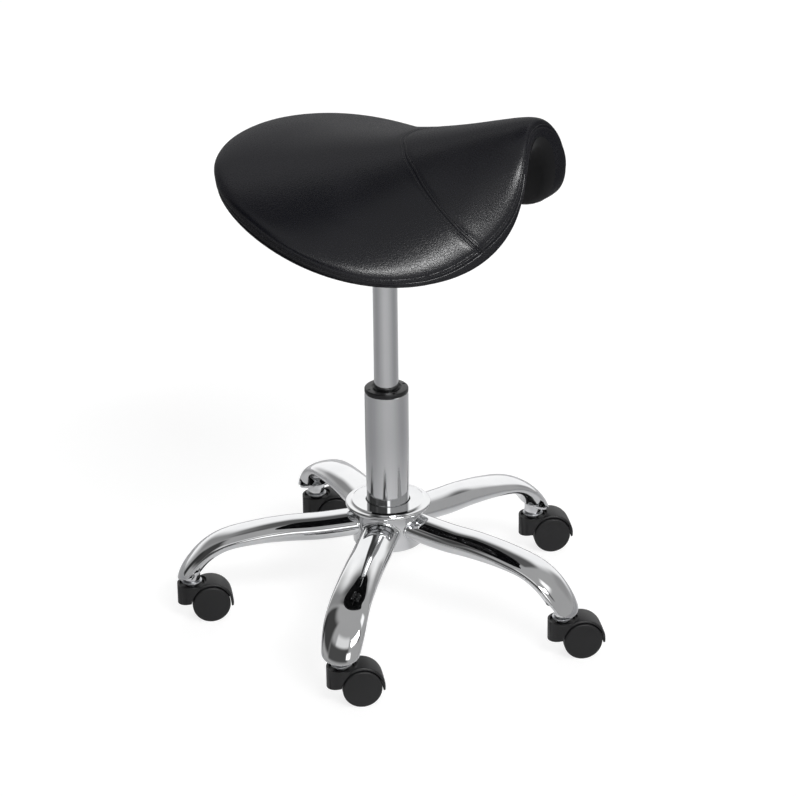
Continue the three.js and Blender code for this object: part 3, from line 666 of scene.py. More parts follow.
def make_arms():
    stem_radius = (stem_place(1) - AXIS).length
    turns = [2 * math.pi * side / ARM_SIDES for side in range(ARM_SIDES)]
    ends = [mouth_share(turn, stem_radius) for turn in turns]
    for _ in range(MOUTH_EASING_ROUNDS):
        ends = [(before + end * 2 + after) / 4
                for before, end, after in zip([ends[-1], *ends], ends, [*ends[1:], ends[0]])]
    starts = [root_share(turn, radius_of("hub") - ARM_ROOT_SINK) for turn in turns]
    rows = []
    for span in range(ARM_SPANS + 1):
        share = span / ARM_SPANS
        row = []
        for turn, start, end in zip(turns, starts, ends):
            if share < ARM_TRIM_SHARE:
                along = blend(start, ARM_TRIM_SHARE, share / ARM_TRIM_SHARE)
            else:
                along = blend(ARM_TRIM_SHARE, end, (share - ARM_TRIM_SHARE) / (1 - ARM_TRIM_SHARE))
            row.append(arm_place(along, turn))
        rows.append([*row, row[0]])
    arm = skin("arm_skin", rows)
    modify(arm, "SOLIDIFY", thickness=ARM_WALL, offset=-1, use_even_offset=False)
    smooth(eased(arm, ARM_EDGE, segments=3, angle=50), 50)

    bead = make_weld_bead()
    bush, stem = make_bush(), make_stem()
    placed(bush, (stem_radius, 0, 0))
    placed(stem, (stem_radius, 0, 0))
    for index in CASTERS:
        turn = arm_angle(index)
        for pattern, name, material, slot, nodes in (
                (arm, f"chromed_arm_{index}", CHROME, "chromed_steel", [f"arm_{index}"]),
                (bead, f"arm_weld_{index}", CHROME, "chromed_steel", []),
                (bush, f"bush_{index}", CHROME, "chromed_steel", [f"caster_bush_{index}"]),
                (stem, f"stem_{index}", ZINC, "zinc_plated_steel", [f"caster_stem_{index}"])):
            dressed(placed(copied(pattern, name), AXIS, turn), material, slot, "base", *nodes)
    for pattern in (arm, bead, bush, stem):
        bpy.data.objects.remove(pattern)


def make_weld_bead():
    """The bead where the arm enters the hub: a fine tube round the line where both skins meet."""
    hub = radius_of("hub") + WELD_BEAD * 0.2
    steps, sides = ARM_SIDES, WELD_BEAD_SIDES
    centres = []
    for step in range(steps):
        turn = 2 * math.pi * step / steps
        centres.append(arm_place(root_share(turn, hub), turn))
    rows = []
    for step in range(steps + 1):
        place = centres[step % steps]
        ahead = (centres[(step + 1) % steps] - centres[(step - 1) % steps]).normalized()
        outward = Vector((place.x, place.y, 0)).normalized()
        side = ahead.cross(outward)
        row = []
        for turn in range(sides + 1):
            angle = 2 * math.pi * turn / sides
            row.append(place + (outward * math.cos(angle) + side * math.sin(angle)) * WELD_BEAD)
        rows.append(row)
    return smooth(skin("weld_bead", rows), 180)


BUSH_EDGE = 0.0006
NECK_RADIUS = 0.0055
BUSH_RADIUS = 0.010
BUSH_SEAT = 0.001
TIP_PLATE = 0.003
TIP_PLATE_DROP = 0.0015
TIP_MIDDLE_BEYOND = 0.0035
TIP_HALF_DEPTH = 0.0082
TIP_HALF_WIDTH = 0.0192


def make_bush():
    """The bush that holds the stem, on a plate welded across the inside of the tip."""
    low, high = heights("caster_bush_1")
    bush = turned("bush", ring_profile(NECK_RADIUS + ROD_GAP, BUSH_RADIUS, low, high), 48)
    eased(bush, BUSH_EDGE)
    plate_top = high - TIP_PLATE_DROP
    plate = cylinder_z(1, plate_top - TIP_PLATE, plate_top)
    plate.scale = (TIP_HALF_DEPTH, TIP_HALF_WIDTH, 1)
    plate.location.x = TIP_MIDDLE_BEYOND
    baked(plate)
    seat = BUSH_RADIUS - BUSH_SEAT
    cut(plate, turned("bore", [(seat, low - MARGIN), (seat, high + MARGIN)], 48))
    eased(plate, EDGE, 2)
    return smooth(joined("bush", plate, bush))


STEM_RADIUS = 0.004
# The stem's collar and flange: radius, lower and upper height
STEM_COLLAR = (0.007, 0.0423, 0.0467)
STEM_FLANGE = (0.012, 0.0467, 0.0487)
STEM_POINT = 0.0006
STEM_EDGE = 0.0005
STEM_GROOVE = 0.0032
STEM_GROOVE_BELOW_BUSH = (0.0036, 0.0026, 0.0012)
KNOB_RADIUS = 0.0046
KNOB_ARC = (-40, 86)


def make_stem():
    low, high = heights("caster_stem_1")
    _, bush_top = heights("caster_bush_1")
    collar, collar_low, collar_high = STEM_COLLAR
    flange, flange_low, flange_high = STEM_FLANGE
    knob = high - KNOB_RADIUS
    neck_high, groove_low, groove_high = (bush_top - below for below in STEM_GROOVE_BELOW_BUSH)
    stem = turned("stem", [
        (STEM_RADIUS - STEM_POINT, low), (STEM_RADIUS, low + STEM_POINT), (STEM_RADIUS, collar_low),
        (collar - STEM_EDGE, collar_low), (collar, collar_low + STEM_EDGE), (collar, collar_high),
        (flange - STEM_EDGE, flange_low), (flange, flange_low + STEM_EDGE), (flange, flange_high - STEM_EDGE),
        (flange - STEM_EDGE, flange_high), (NECK_RADIUS + EDGE, flange_high),
        (NECK_RADIUS, flange_high + EDGE), (NECK_RADIUS, neck_high),
        (STEM_GROOVE, groove_low), (STEM_GROOVE, groove_high),
        *arc((0, knob), KNOB_RADIUS, *KNOB_ARC, 12),
    ], 48)
    return smooth(stem, 35)


# Gas lift

SLEEVE_EDGE = 0.0009
FUNNEL = 0.0034
FUNNEL_DEPTH = 0.002
TUBE_FOOT_STEP = 0.00055
TUBE_TAPER = 0.073
TUBE_BORE = 0.0222
TUBE_FLOOR = 0.004
TUBE_FLOOR_BORE = 0.006
COLLAR_NOTCHES = 4
COLLAR_NOTCH = (0.0036, 0.0024, 0.0022)
COLLAR_NOTCH_REACH = 0.0215
CYLINDER_EDGE = 0.0006
CYLINDER_WALL = 0.0016
CYLINDER_END_BORE = 0.0053
CYLINDER_END = 0.018
VALVE_BORE = 0.0043
VALVE_BODY = 0.040
TAPER_LENGTH = 0.032
TAPER_TOP_RADIUS = 0.0132


def make_lift():
    low, high = heights("column_tube")
    radius = radius_of("column_tube")
    foot = radius - TUBE_FOOT_STEP
    _, flange_top = heights("hub_flange")
    tube = turned("lift_tube", [
        (TUBE_FLOOR_BORE, low), (foot, low), (foot, flange_top), (radius, flange_top + TUBE_TAPER),
        (radius, high - EDGE), (radius - EDGE, high), (TUBE_BORE, high), (TUBE_BORE, low + TUBE_FLOOR),
        (TUBE_FLOOR_BORE, low + TUBE_FLOOR), (TUBE_FLOOR_BORE, low),
    ], ROUND_SIDES)
    smooth(tube, 25)
    dressed(placed(tube, AXIS), TUBE_CHROME, "chromed_steel", "base", "column_tube")

    sleeve_low, sleeve_high = heights("guide_sleeve")
    rod = radius_of("lift_cylinder")
    bore = rod + ROD_GAP
    sleeve = turned("lift_guide", [
        (bore, sleeve_low), (bore, sleeve_high - FUNNEL_DEPTH), (bore + FUNNEL, sleeve_high),
        (radius - SLEEVE_EDGE, sleeve_high), (radius, sleeve_high - SLEEVE_EDGE), (radius, high + ROD_GAP),
        (TUBE_BORE - ROD_GAP, high + ROD_GAP), (TUBE_BORE - ROD_GAP, sleeve_low), (bore, sleeve_low),
    ], 96)
    eased(sleeve, FINE_EDGE, 2, 35)
    half = Vector(COLLAR_NOTCH) / 2
    middle = Vector((COLLAR_NOTCH_REACH, 0, sleeve_high))
    for notch in range(COLLAR_NOTCHES):
        turn = math.pi * 2 * (notch + 0.5) / COLLAR_NOTCHES
        cut(sleeve, placed(block(middle - half, middle + half), (0, 0, 0), turn))
    smooth(sleeve, 30)
    dressed(placed(sleeve, AXIS), PLASTIC, "black_plastic", "base", "guide_sleeve")

    low, high = heights("lift_cylinder")
    inside = rod - CYLINDER_WALL
    cylinder = turned("lift_rod_tube", [
        (CYLINDER_END_BORE, low), (rod - CYLINDER_EDGE, low), (rod, low + CYLINDER_EDGE),
        (rod, high - TAPER_LENGTH), (TAPER_TOP_RADIUS, high - FINE_EDGE),
        (TAPER_TOP_RADIUS - FINE_EDGE, high), (VALVE_BORE, high),
        (VALVE_BORE, high - VALVE_BODY), (inside, high - VALVE_BODY), (inside, low + CYLINDER_END),
        (CYLINDER_END_BORE, low + CYLINDER_END), (CYLINDER_END_BORE, low),
    ], 96)
    smooth(cylinder, 25)
    dressed(placed(cylinder, AXIS), TUBE_CHROME, "chromed_steel", "seat", "lift_cylinder")


# Inside the lift: what the rod carries, from the clip under the tube's floor up to the piston

RACE_SHARE = 0.3
BALLS = 9
BALL_RADIUS = 0.0019
RACE_BORE = 0.0048
CAGE_INSET = 0.0028
CAGE_HALF = 0.0005
SEAL_RADIUS = 0.0007
SEAL_GROOVE = 0.0013
SEAL_MOUTH = 0.0012
SEAL_FLOOR = 0.001
RING_BORE = 0.0043
BUFFER_BORE = 0.0053
BUFFER_EDGE = 0.0016
BUFFER_WAIST = 0.0012
ROD_NECK = 0.004
CLIP_GROOVE = 0.0005
CLIP_SEAT = 0.002
CLIP_EYE_RADIUS = 0.0009
CLIP_EYE = (0.0068, 0.0035)
CLIP_MOUTH = 0.0016
PIN_FLANGE = 0.003
PIN_RADIUS = 0.004
PIN_POINT = 0.002
PIN_TIP = 0.0026


def ring(name, node, bore, edge=EDGE):
    """A plain turned ring in its node's box."""
    low, high = heights(node)
    return eased(turned(name, ring_profile(bore, radius_of(node), low, high), 64), edge)


def ball_bearing():
    """Two races and a cage of balls between them."""
    low, high = heights("thrust_bearing")
    radius = radius_of("thrust_bearing")
    bore = RACE_BORE
    race = (high - low) * RACE_SHARE
    middle = (low + high) / 2
    reach = (bore + radius) / 2
    pieces = [eased(turned("race", ring_profile(bore, radius, low, low + race), 64), EDGE),
              eased(turned("race", ring_profile(bore, radius, high - race, high), 64), EDGE),
              turned("cage", ring_profile(bore + CAGE_INSET, radius - CAGE_INSET,
                                          middle - CAGE_HALF, middle + CAGE_HALF), 64)]
    for ball in range(BALLS):
        turn = 2 * math.pi * ball / BALLS
        place = (reach * math.cos(turn), reach * math.sin(turn), middle)
        fresh()
        bpy.ops.mesh.primitive_uv_sphere_add(segments=20, ring_count=12, radius=BALL_RADIUS, location=place)
        pieces.append(bpy.context.object)
    return joined("ball_bearing", *pieces)


def make_lift_inside():
    bearing = ball_bearing()
    dressed(placed(smooth(bearing), AXIS), ZINC, "zinc_plated_steel", "base", "thrust_bearing")
    washer = ring("thrust_disc", "thrust_washer", RING_BORE)
    dressed(placed(smooth(washer), AXIS), ZINC, "zinc_plated_steel", "lift_rod", "thrust_washer")

    low, high = heights("bump_ring")
    radius, waist = radius_of("bump_ring"), (low + high) / 2
    buffer = turned("rubber_buffer", [
        (BUFFER_BORE, low), (BUFFER_BORE, high),
        *arc((radius - BUFFER_EDGE, high - BUFFER_EDGE), BUFFER_EDGE, 90, 0, 6),
        *arc((radius, waist), BUFFER_WAIST, 90, 270, 8),
        *arc((radius - BUFFER_EDGE, low + BUFFER_EDGE), BUFFER_EDGE, 0, -90, 6), (BUFFER_BORE, low),
    ], 64)
    dressed(placed(smooth(buffer), AXIS), RUBBER, "bump_rubber", "lift_rod", "bump_ring")

    low, high = heights("piston_rod")
    rod, neck = radius_of("piston_rod"), ROD_NECK
    shoulder, piston_low = heights("bump_ring")[0], heights("piston")[0]
    groove = heights("retaining_clip")[0]
    groove_top = groove + CLIP_SEAT
    shaft = turned("polished_rod", [
        (neck - EDGE * 2, low), (neck, low + EDGE * 2), (neck, groove - EDGE / 2),
        (neck - CLIP_GROOVE, groove), (neck - CLIP_GROOVE, groove_top - EDGE / 2), (neck, groove_top),
        (neck, shoulder),
        (rod - EDGE, shoulder), (rod, shoulder + EDGE), (rod, piston_low - ROD_GAP - EDGE),
        (rod - EDGE, piston_low - ROD_GAP), (neck, piston_low - ROD_GAP), (neck, high - EDGE * 2),
        (neck - EDGE * 2, high),
    ], 48)
    dressed(placed(smooth(shaft, 25), AXIS), ZINC, "zinc_plated_steel", "lift_rod", "piston_rod")

    low, high = heights("piston")
    radius, waist = radius_of("piston"), (low + high) / 2
    head = turned("seal_piston", [
        (RING_BORE, low), (RING_BORE, high), (radius - EDGE, high), (radius, high - EDGE),
        (radius, waist + SEAL_MOUTH), (radius - SEAL_GROOVE, waist + SEAL_FLOOR),
        *arc((radius - SEAL_RADIUS, waist), SEAL_RADIUS, 100, -100, 8),
        (radius - SEAL_GROOVE, waist - SEAL_FLOOR), (radius, waist - SEAL_MOUTH),
        (radius, low + EDGE), (radius - EDGE, low), (RING_BORE, low),
    ], 64)
    dressed(placed(smooth(head, 30), AXIS), PLASTIC, "black_plastic", "lift_rod", "piston")

    clip = ring("spring_clip", "retaining_clip", RING_BORE, EDGE / 2)
    low, high = heights("retaining_clip")
    low, high = low - MARGIN, high + MARGIN
    cut(clip, block((0, -CLIP_MOUTH, low), (radius_of("retaining_clip") * 2, CLIP_MOUTH, high)))
    eye_reach, eye_side = CLIP_EYE
    for side in (-eye_side, eye_side):
        cut(clip, placed(cylinder_z(CLIP_EYE_RADIUS, low, high, 16), (eye_reach, side, 0)))
    dressed(placed(smooth(clip), AXIS), ZINC, "zinc_plated_steel", "lift_rod", "retaining_clip")

    low, high = heights("valve_pin")
    foot, pin, tip = radius_of("valve_pin"), PIN_RADIUS, PIN_TIP
    shoulder = low + PIN_FLANGE
    valve = turned("release_pin", [
        (foot - EDGE, low), (foot, low + EDGE), (foot, shoulder - EDGE), (foot - EDGE, shoulder),
        (pin, shoulder), (pin, high - PIN_POINT), *arc((0, high - tip), tip, 30, 86, 8),
    ], 40)
    dressed(placed(smooth(valve, 30), AXIS), ZINC, "zinc_plated_steel", "valve", "valve_pin")


# Seat mechanism: a pressed box round the taper socket, the seat plate over it and the height lever through it

BOX_WALL = 0.0025
BOX_CORNER = 0.005
BOX_EDGE = 0.0018
GROOVE_RADIUS = 0.0016
GROOVE_STANDOFF = 0.0007
GROOVE_END = 0.006
GROOVE_PLACES = (-0.006, 0.012)
SLOT = (0.010, 0.014)
PIVOT_RADIUS = 0.0025
PIVOT_HEAD = 0.002
PIVOT_CLIP = 0.0018
SOCKET_EDGE = 0.001
SOCKET_WELD = 0.0014
LEVER_RADIUS = 0.004
LEVER_EYE = (0.006, 0.0092)
LEVER_START = 0.003
LEVER_BEND = 0.050
LEVER_BEND_LENGTH = 0.010
LEVER_REACH = 0.142
LEVER_DROOP = math.radians(20)
GRIP_RADIUS = 0.0068
GRIP_LENGTH = 0.056
GRIP_COVER = 0.044
GRIP_RIBS = 7
GRIP_RIB_SHARES = (0.2, 0.8)
# The grooves between the ribs: depth under the grip's skin, and place along it
GRIP_GROOVE = [(0.0002, -0.0018), (0.0009, -0.0008), (0.0009, 0.0008), (0.0002, 0.0018)]
GRIP_MOUTH = 0.0018
GRIP_EDGE = 0.0008
GRIP_NOSE = 0.005
PLATE_CORNER = 0.014
PLATE_BEAD = 0.004
PLATE_BEAD_SHARE = 0.56
SCREW_RADIUS = 0.003
SCREW_HEAD_RADIUS = 0.0055
SCREW_HEAD_HEIGHT = 0.004
SCREW_HEAD_ROUND = 0.0012
SCREW_POINT = 0.001
SCREW_KEY = 0.0024


def corner_rounded(piece, radius, segments=6):
    """Rounds the upright edges of a block."""
    fresh(piece)
    edit_all()
    bpy.ops.mesh.select_mode(type="EDGE")
    bpy.ops.mesh.select_all(action="DESELECT")
    object_mode()
    for edge in piece.data.edges:
        first, second = (piece.data.vertices[index].co for index in edge.vertices)
        edge.select = abs(first.z - second.z) > WELD
    bpy.ops.object.mode_set(mode="EDIT")
    bpy.ops.mesh.bevel(offset=radius, segments=segments, affect="EDGES")
    bpy.ops.mesh.select_mode(type="VERT")
    object_mode()
    return piece


def make_mechanism():
    pivot = middle_of("pivot_pin") - AXIS
    make_box(pivot)
    make_plate()
    make_lever(pivot)


def make_box(pivot):
    low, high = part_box("mechanism_box")
    low, high = low - AXIS, high - AXIS
    wall = Vector((BOX_WALL, BOX_WALL, BOX_WALL))
    box = eased(corner_rounded(block(low, high), BOX_CORNER), BOX_EDGE, 3, 60)
    mouth = high - wall + Vector((0, 0, BOX_WALL * 8))
    inside = corner_rounded(block(low + wall, mouth), BOX_CORNER - BOX_WALL)
    socket = radius_of("taper_socket")
    half_width, half_height = SLOT[0] / 2, SLOT[1] / 2
    slot = block((low.x * 2, -half_width, pivot.z - half_height),
                 (low.x + BOX_WALL * 2, half_width, pivot.z + half_height))
    cut(box, inside, cylinder_z(socket + ROD_GAP, low.z - BOX_WALL * 4, low.z + BOX_WALL * 4, 64),
        cylinder_y(PIVOT_RADIUS + ROD_GAP, low.y * 2, high.y * 2, pivot.x, pivot.z, 32), slot)
    for y in (low.y - GROOVE_STANDOFF, high.y + GROOVE_STANDOFF):
        for x in GROOVE_PLACES:
            groove = cylinder_z(GROOVE_RADIUS, low.z + GROOVE_END, high.z - GROOVE_END, 24)
            cut(box, placed(eased(groove, GROOVE_RADIUS * 0.75, 3), (x, y, 0)))
    smooth(eased(box, FINE_EDGE, 2, 50), 35)
    dressed(baked(placed(box, AXIS), "pressed_box"), PAINT, "black_painted_steel", "seat", "mechanism_box")

    bottom, top = heights("taper_socket")
    narrow = radius_of("lift_cylinder") + ROD_GAP
    taper = (radius_of("lift_cylinder") - TAPER_TOP_RADIUS) * (top - bottom) / TAPER_LENGTH
    sleeve = turned("tapered_socket", [
        (narrow + EDGE, bottom), (narrow, bottom + EDGE), (narrow - taper, top), (socket - SOCKET_EDGE, top),
        (socket, top - SOCKET_EDGE), (socket, low.z - ROD_GAP), (socket + SOCKET_WELD, low.z - ROD_GAP),
        (socket + SOCKET_WELD * 0.6, low.z - SOCKET_WELD * 0.8), (socket, low.z - SOCKET_WELD * 1.3),
        (socket, bottom + SOCKET_EDGE), (socket - SOCKET_EDGE, bottom), (narrow + EDGE, bottom),
    ], 96)
    dressed(placed(smooth(sleeve, 30), AXIS), PAINT, "black_painted_steel", "seat", "taper_socket")

    half = high.y + ROD_GAP
    foot = -half - PIVOT_HEAD + ROD_GAP
    clip_radius, clip_low, clip_high = PIVOT_RADIUS + PIVOT_CLIP, -half - PIVOT_HEAD / 2, -half - ROD_GAP
    head_radius = PIVOT_RADIUS + PIVOT_HEAD
    pin = turned("pivot", [
        (PIVOT_RADIUS - EDGE, foot), (PIVOT_RADIUS, foot + EDGE), (PIVOT_RADIUS, clip_low),
        (clip_radius, clip_low), (clip_radius, clip_high), (PIVOT_RADIUS, clip_high), (PIVOT_RADIUS, half),
        (head_radius, half), (head_radius, half + PIVOT_HEAD / 2),
        (head_radius - EDGE * 2, half + PIVOT_HEAD),
    ], 32)
    pin.rotation_euler = (-math.pi / 2, 0, 0)
    pin.location = AXIS + Vector((pivot.x, pivot.y, pivot.z))
    dressed(smooth(baked(pin, "lever_pivot"), 35), ZINC, "zinc_plated_steel", "seat", "pivot_pin")


def make_plate():
    low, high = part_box("seat_plate")
    low, high = low - AXIS, high - AXIS
    plate = corner_rounded(block(low, high), PLATE_CORNER, 10)
    bead = high.x * 0.8
    for side in (-1, 1):
        stiffener = cylinder_y(PLATE_BEAD, low.y * PLATE_BEAD_SHARE, high.y * PLATE_BEAD_SHARE,
                               side * bead, low.z + PLATE_BEAD * 0.7, 32)
        cut(plate, eased(stiffener, PLATE_BEAD / 2, 3), operation="UNION")
    key = turned("key", [(SCREW_KEY, 0), (SCREW_KEY, SCREW_HEAD_HEIGHT * 0.6)], 6)
    for index in SCREWS:
        place = middle_of(f"plate_screw_{index}") - AXIS
        bottom, top = heights(f"plate_screw_{index}")
        head = bottom + SCREW_HEAD_HEIGHT
        screw = turned(f"socket_screw_{index}", [
            (SCREW_HEAD_RADIUS - SCREW_HEAD_ROUND, bottom), (SCREW_HEAD_RADIUS - EDGE, bottom + EDGE),
            (SCREW_HEAD_RADIUS, bottom + SCREW_HEAD_ROUND + EDGE / 2), (SCREW_HEAD_RADIUS, head),
            (SCREW_RADIUS, head), (SCREW_RADIUS, top - SCREW_POINT), (SCREW_RADIUS - SCREW_POINT, top),
        ], 40)
        cut(screw, placed(copied(key, "socket"), (0, 0, bottom - EDGE / 2)))
        placed(smooth(screw, 35), AXIS + Vector((place.x, place.y, 0)))
        dressed(screw, ZINC, "zinc_plated_steel", "seat", f"plate_screw_{index}")
        hole = cylinder_z(SCREW_RADIUS + ROD_GAP, low.z - MARGIN, high.z + MARGIN, 32)
        cut(plate, placed(hole, (place.x, place.y, 0)))
    bpy.data.objects.remove(key)
    smooth(eased(plate, EDGE, 2, 40), 35)
    dressed(baked(placed(plate, AXIS), "steel_plate"), PAINT, "black_painted_steel", "seat", "seat_plate")


def lever_place(reach, height):
    """A place on the lever's middle line; it droops past a short bend."""
    start, end = LEVER_BEND - LEVER_BEND_LENGTH / 2, LEVER_BEND + LEVER_BEND_LENGTH / 2
    if reach < start:
        past = 0
    elif reach < end:
        past = (reach - start) ** 2 / (2 * LEVER_BEND_LENGTH)
    else:
        past = reach - LEVER_BEND
    return Vector((-reach, 0, height - past * math.tan(LEVER_DROOP)))


def make_lever(pivot):
    grip_start = LEVER_REACH - GRIP_LENGTH
    rod_end = grip_start + GRIP_COVER
    steps, sides = 60, 24
    nearby = 0.0005
    rows = []
    for step in range(steps + 1):
        reach = blend(LEVER_START, rod_end, step / steps)
        place = lever_place(reach, pivot.z)
        ahead = (lever_place(reach + nearby, pivot.z) - place).normalized()
        across = Vector((-ahead.z, 0, ahead.x))
        row = []
        for side in range(sides):
            turn = 2 * math.pi * side / sides
            row.append(place + (across * math.cos(turn) + Vector((0, math.sin(turn), 0))) * LEVER_RADIUS)
        rows.append([*row, row[0]])
    rod = capped(skin("height_lever", rows))
    eye, width = LEVER_EYE
    cut(rod, cylinder_y(eye, -width / 2, width / 2, pivot.x, pivot.z, 48), operation="UNION")
    cut(rod, cylinder_y(PIVOT_RADIUS + ROD_GAP, -width, width, pivot.x, pivot.z, 32))
    smooth(eased(rod, EDGE, 2, 45), 40)
    dressed(placed(rod, AXIS), PAINT, "black_painted_steel", "lever", "lever_rod")

    start, end = lever_place(grip_start, pivot.z), lever_place(LEVER_REACH, pivot.z)
    length = (end - start).length
    bore = LEVER_RADIUS + ROD_GAP
    depth = length * (GRIP_COVER + ROD_GAP) / GRIP_LENGTH
    ribs = []
    for rib in range(GRIP_RIBS):
        middle = length * blend(*GRIP_RIB_SHARES, rib / (GRIP_RIBS - 1))
        ribs += [(GRIP_RADIUS - deep, middle + along) for deep, along in GRIP_GROOVE]
    grip = turned("lever_handle", [
        (bore, depth), (bore, 0), (GRIP_RADIUS - GRIP_MOUTH, 0), (GRIP_RADIUS - GRIP_EDGE, GRIP_EDGE),
        (GRIP_RADIUS - FINE_EDGE, GRIP_EDGE * 5), *ribs, (GRIP_RADIUS, length - GRIP_NOSE * 1.2),
        *arc((GRIP_RADIUS - GRIP_NOSE, length - GRIP_NOSE), GRIP_NOSE, 0, 80, 8), (POLE_RADIUS, length),
    ], 48)
    smooth(eased(grip, EDGE / 2, 2, 40), 50)
    grip.rotation_euler = (end - start).to_track_quat("Z", "Y").to_euler()
    grip.location = start + AXIS
    dressed(baked(grip, "lever_handle"), PLASTIC, "black_plastic", "lever", "lever_grip")


# Casters, modelled once in the caster's own frame: the stem stands on the origin, the wheels trail along +X

WHEEL_RADIUS = 0.022
WHEEL_WIDTH = 0.013
WHEEL_DOME = 0.0016
WHEEL_SHOULDER = 0.0026
WHEEL_BORE = 0.0033
WHEEL_FACE_WALL = 0.003
WHEEL_DOME_POWER = 2.2
WHEEL_RECESS = (0.008, 0.004)
WHEEL_RECESS_TAPER = 0.0005
WHEEL_INNER_EDGE = 0.0022
WHEEL_INNER_ROUND = 0.0006
WHEEL_POLE = 0.0002
WEB_HALF = 0.006
HOOD_GAP = 0.0014
HOOD_WALL = 0.0026
HOOD_HALF_WIDTH = 0.016
HOOD_CORNER = 0.0032
HOOD_CROWN = 0.0002
HOOD_REAR_DEGREES = -8
CUP_RADIUS = 0.017
LIP_HEIGHT = 0.045
LIP_WALL = 0.0025
RECESS_DEPTH = 0.003
STEM_BORE_DEPTH = 0.0175
AXLE_RADIUS = 0.003
SKIRT_DROP = 0.0034
SKIRT_SLOPE = math.radians(15)
BOSS_RADIUS = 0.007
CASTER_EDGE = 0.0007
CASTER_REACH = 0.06
FLAT_ANGLE = math.radians(0.6)


def caster_places():
    """How far the axle trails the stem, and which way, in the first caster."""
    trail = middle_of("caster_axle_1") - stem_place(1)
    return math.hypot(trail.x, trail.y), math.atan2(trail.y, trail.x)


def make_hood(trail):
    """The moulded hood over both wheels: an arc of a band, its long edges well rounded."""
    inner = WHEEL_RADIUS + HOOD_GAP
    outer = inner + HOOD_WALL
    steps = 72
    rows = []
    for step in range(steps + 1):
        turn = math.radians(blend(HOOD_REAR_DEGREES, 180 - HOOD_REAR_DEGREES, step / steps))
        along, up = Vector((math.cos(turn), 0, math.sin(turn))), Vector((trail, 0, WHEEL_RADIUS))
        side, corner = HOOD_HALF_WIDTH, HOOD_CORNER
        section = [(-side, inner), (-side, outer - corner * 0.8),
                   (-side + corner * 0.12, outer - corner * 0.42),
                   (-side + corner * 0.42, outer - corner * 0.12), (-side + corner, outer)]
        section += [(0, outer + HOOD_CROWN)] + [(-across, height) for across, height in reversed(section)]
        section.append(section[0])
        rows.append([up + along * height + Vector((0, across, 0)) for across, height in section])
    return capped(skin("hood", rows))


def make_housing(trail):
    inner = WHEEL_RADIUS + HOOD_GAP
    outer = inner + HOOD_WALL
    axle = WHEEL_RADIUS
    recess = LIP_HEIGHT - RECESS_DEPTH
    top = axle + outer + MARGIN

    cup = cylinder_z(CUP_RADIUS, axle - CUP_RADIUS, LIP_HEIGHT, 96)
    far = CASTER_REACH
    below = block((-far, -far, -far), (far, far, 0))
    below.location = (0, 0, axle + SKIRT_DROP)
    below.rotation_euler = (0, -SKIRT_SLOPE, 0)
    cut(cup, baked(below))

    hood = make_hood(trail)
    cut(hood, cylinder_z(CUP_RADIUS, LIP_HEIGHT - LIP_WALL, top, 96),
        block((-far, -far, -far), (0, far, far)))

    web = cylinder_y(inner + HOOD_WALL / 2, -WEB_HALF, WEB_HALF, trail, axle)
    cut(web, block((-far, -far, -far), (trail + far, far, axle + BOSS_RADIUS / 2)),
        cylinder_z(CUP_RADIUS, LIP_HEIGHT - LIP_WALL, top, 96))
    arm = block((0, -WEB_HALF, axle - BOSS_RADIUS / 2), (trail, WEB_HALF, axle + BOSS_RADIUS))
    boss = cylinder_y(BOSS_RADIUS, -WEB_HALF, WEB_HALF, trail, axle)

    cut(cup, cylinder_y(inner, WEB_HALF, HOOD_HALF_WIDTH * 2, trail, axle, 96),
        cylinder_y(inner, -HOOD_HALF_WIDTH * 2, -WEB_HALF, trail, axle, 96))
    cut(cup, hood, web, arm, boss, operation="UNION")
    cut(cup, cylinder_y(AXLE_RADIUS + ROD_GAP, -CUP_RADIUS * 2, CUP_RADIUS * 2, trail, axle, 32),
        cylinder_z(CUP_RADIUS - LIP_WALL, recess, LIP_HEIGHT + MARGIN, 96),
        cylinder_z(STEM_RADIUS + ROD_GAP, recess - STEM_BORE_DEPTH, LIP_HEIGHT, 32))
    edit_all()
    bpy.ops.mesh.remove_doubles(threshold=WELD * 2)
    bpy.ops.mesh.dissolve_limited(angle_limit=FLAT_ANGLE)
    object_mode()
    eased(cup, CASTER_EDGE, 3, 38)
    return smooth(baked(cup, "caster_body"), 32)


def make_wheel():
    """One wheel with its domed face up and its inner edge at the web, axle on Z."""
    inner = WEB_HALF + ROD_GAP
    face = inner + WHEEL_WIDTH - WHEEL_DOME
    shoulder = arc((WHEEL_RADIUS - WHEEL_SHOULDER, face - WHEEL_SHOULDER), WHEEL_SHOULDER, 0, 78, 8)
    dome_radius = WHEEL_RADIUS - WHEEL_SHOULDER
    dome = []
    steps = 12
    for step in range(1, steps + 1):
        radius = dome_radius * (1 - step / steps) + WHEEL_POLE
        dome.append((radius, face + WHEEL_DOME * (1 - (radius / dome_radius) ** WHEEL_DOME_POWER)))
    bore_end = face - WHEEL_FACE_WALL
    recess_radius, recess_depth = WHEEL_RECESS
    wheel = turned("wheel", [
        (WHEEL_POLE * 2, bore_end), (WHEEL_BORE, bore_end), (WHEEL_BORE, inner + recess_depth),
        (recess_radius, inner + recess_depth), (recess_radius + WHEEL_RECESS_TAPER, inner),
        (WHEEL_RADIUS - WHEEL_INNER_EDGE, inner),
        (WHEEL_RADIUS - WHEEL_INNER_ROUND, inner + WHEEL_INNER_ROUND),
        (WHEEL_RADIUS, inner + WHEEL_INNER_EDGE), *shoulder, *dome,
    ], 96)
    return smooth(wheel, 35)


def make_axle(trail):
    half = WEB_HALF + WHEEL_WIDTH - WHEEL_DOME - WHEEL_FACE_WALL
    axle = cylinder_y(AXLE_RADIUS, -half, half, trail, WHEEL_RADIUS, 32)
    return smooth(eased(axle, EDGE, 2))


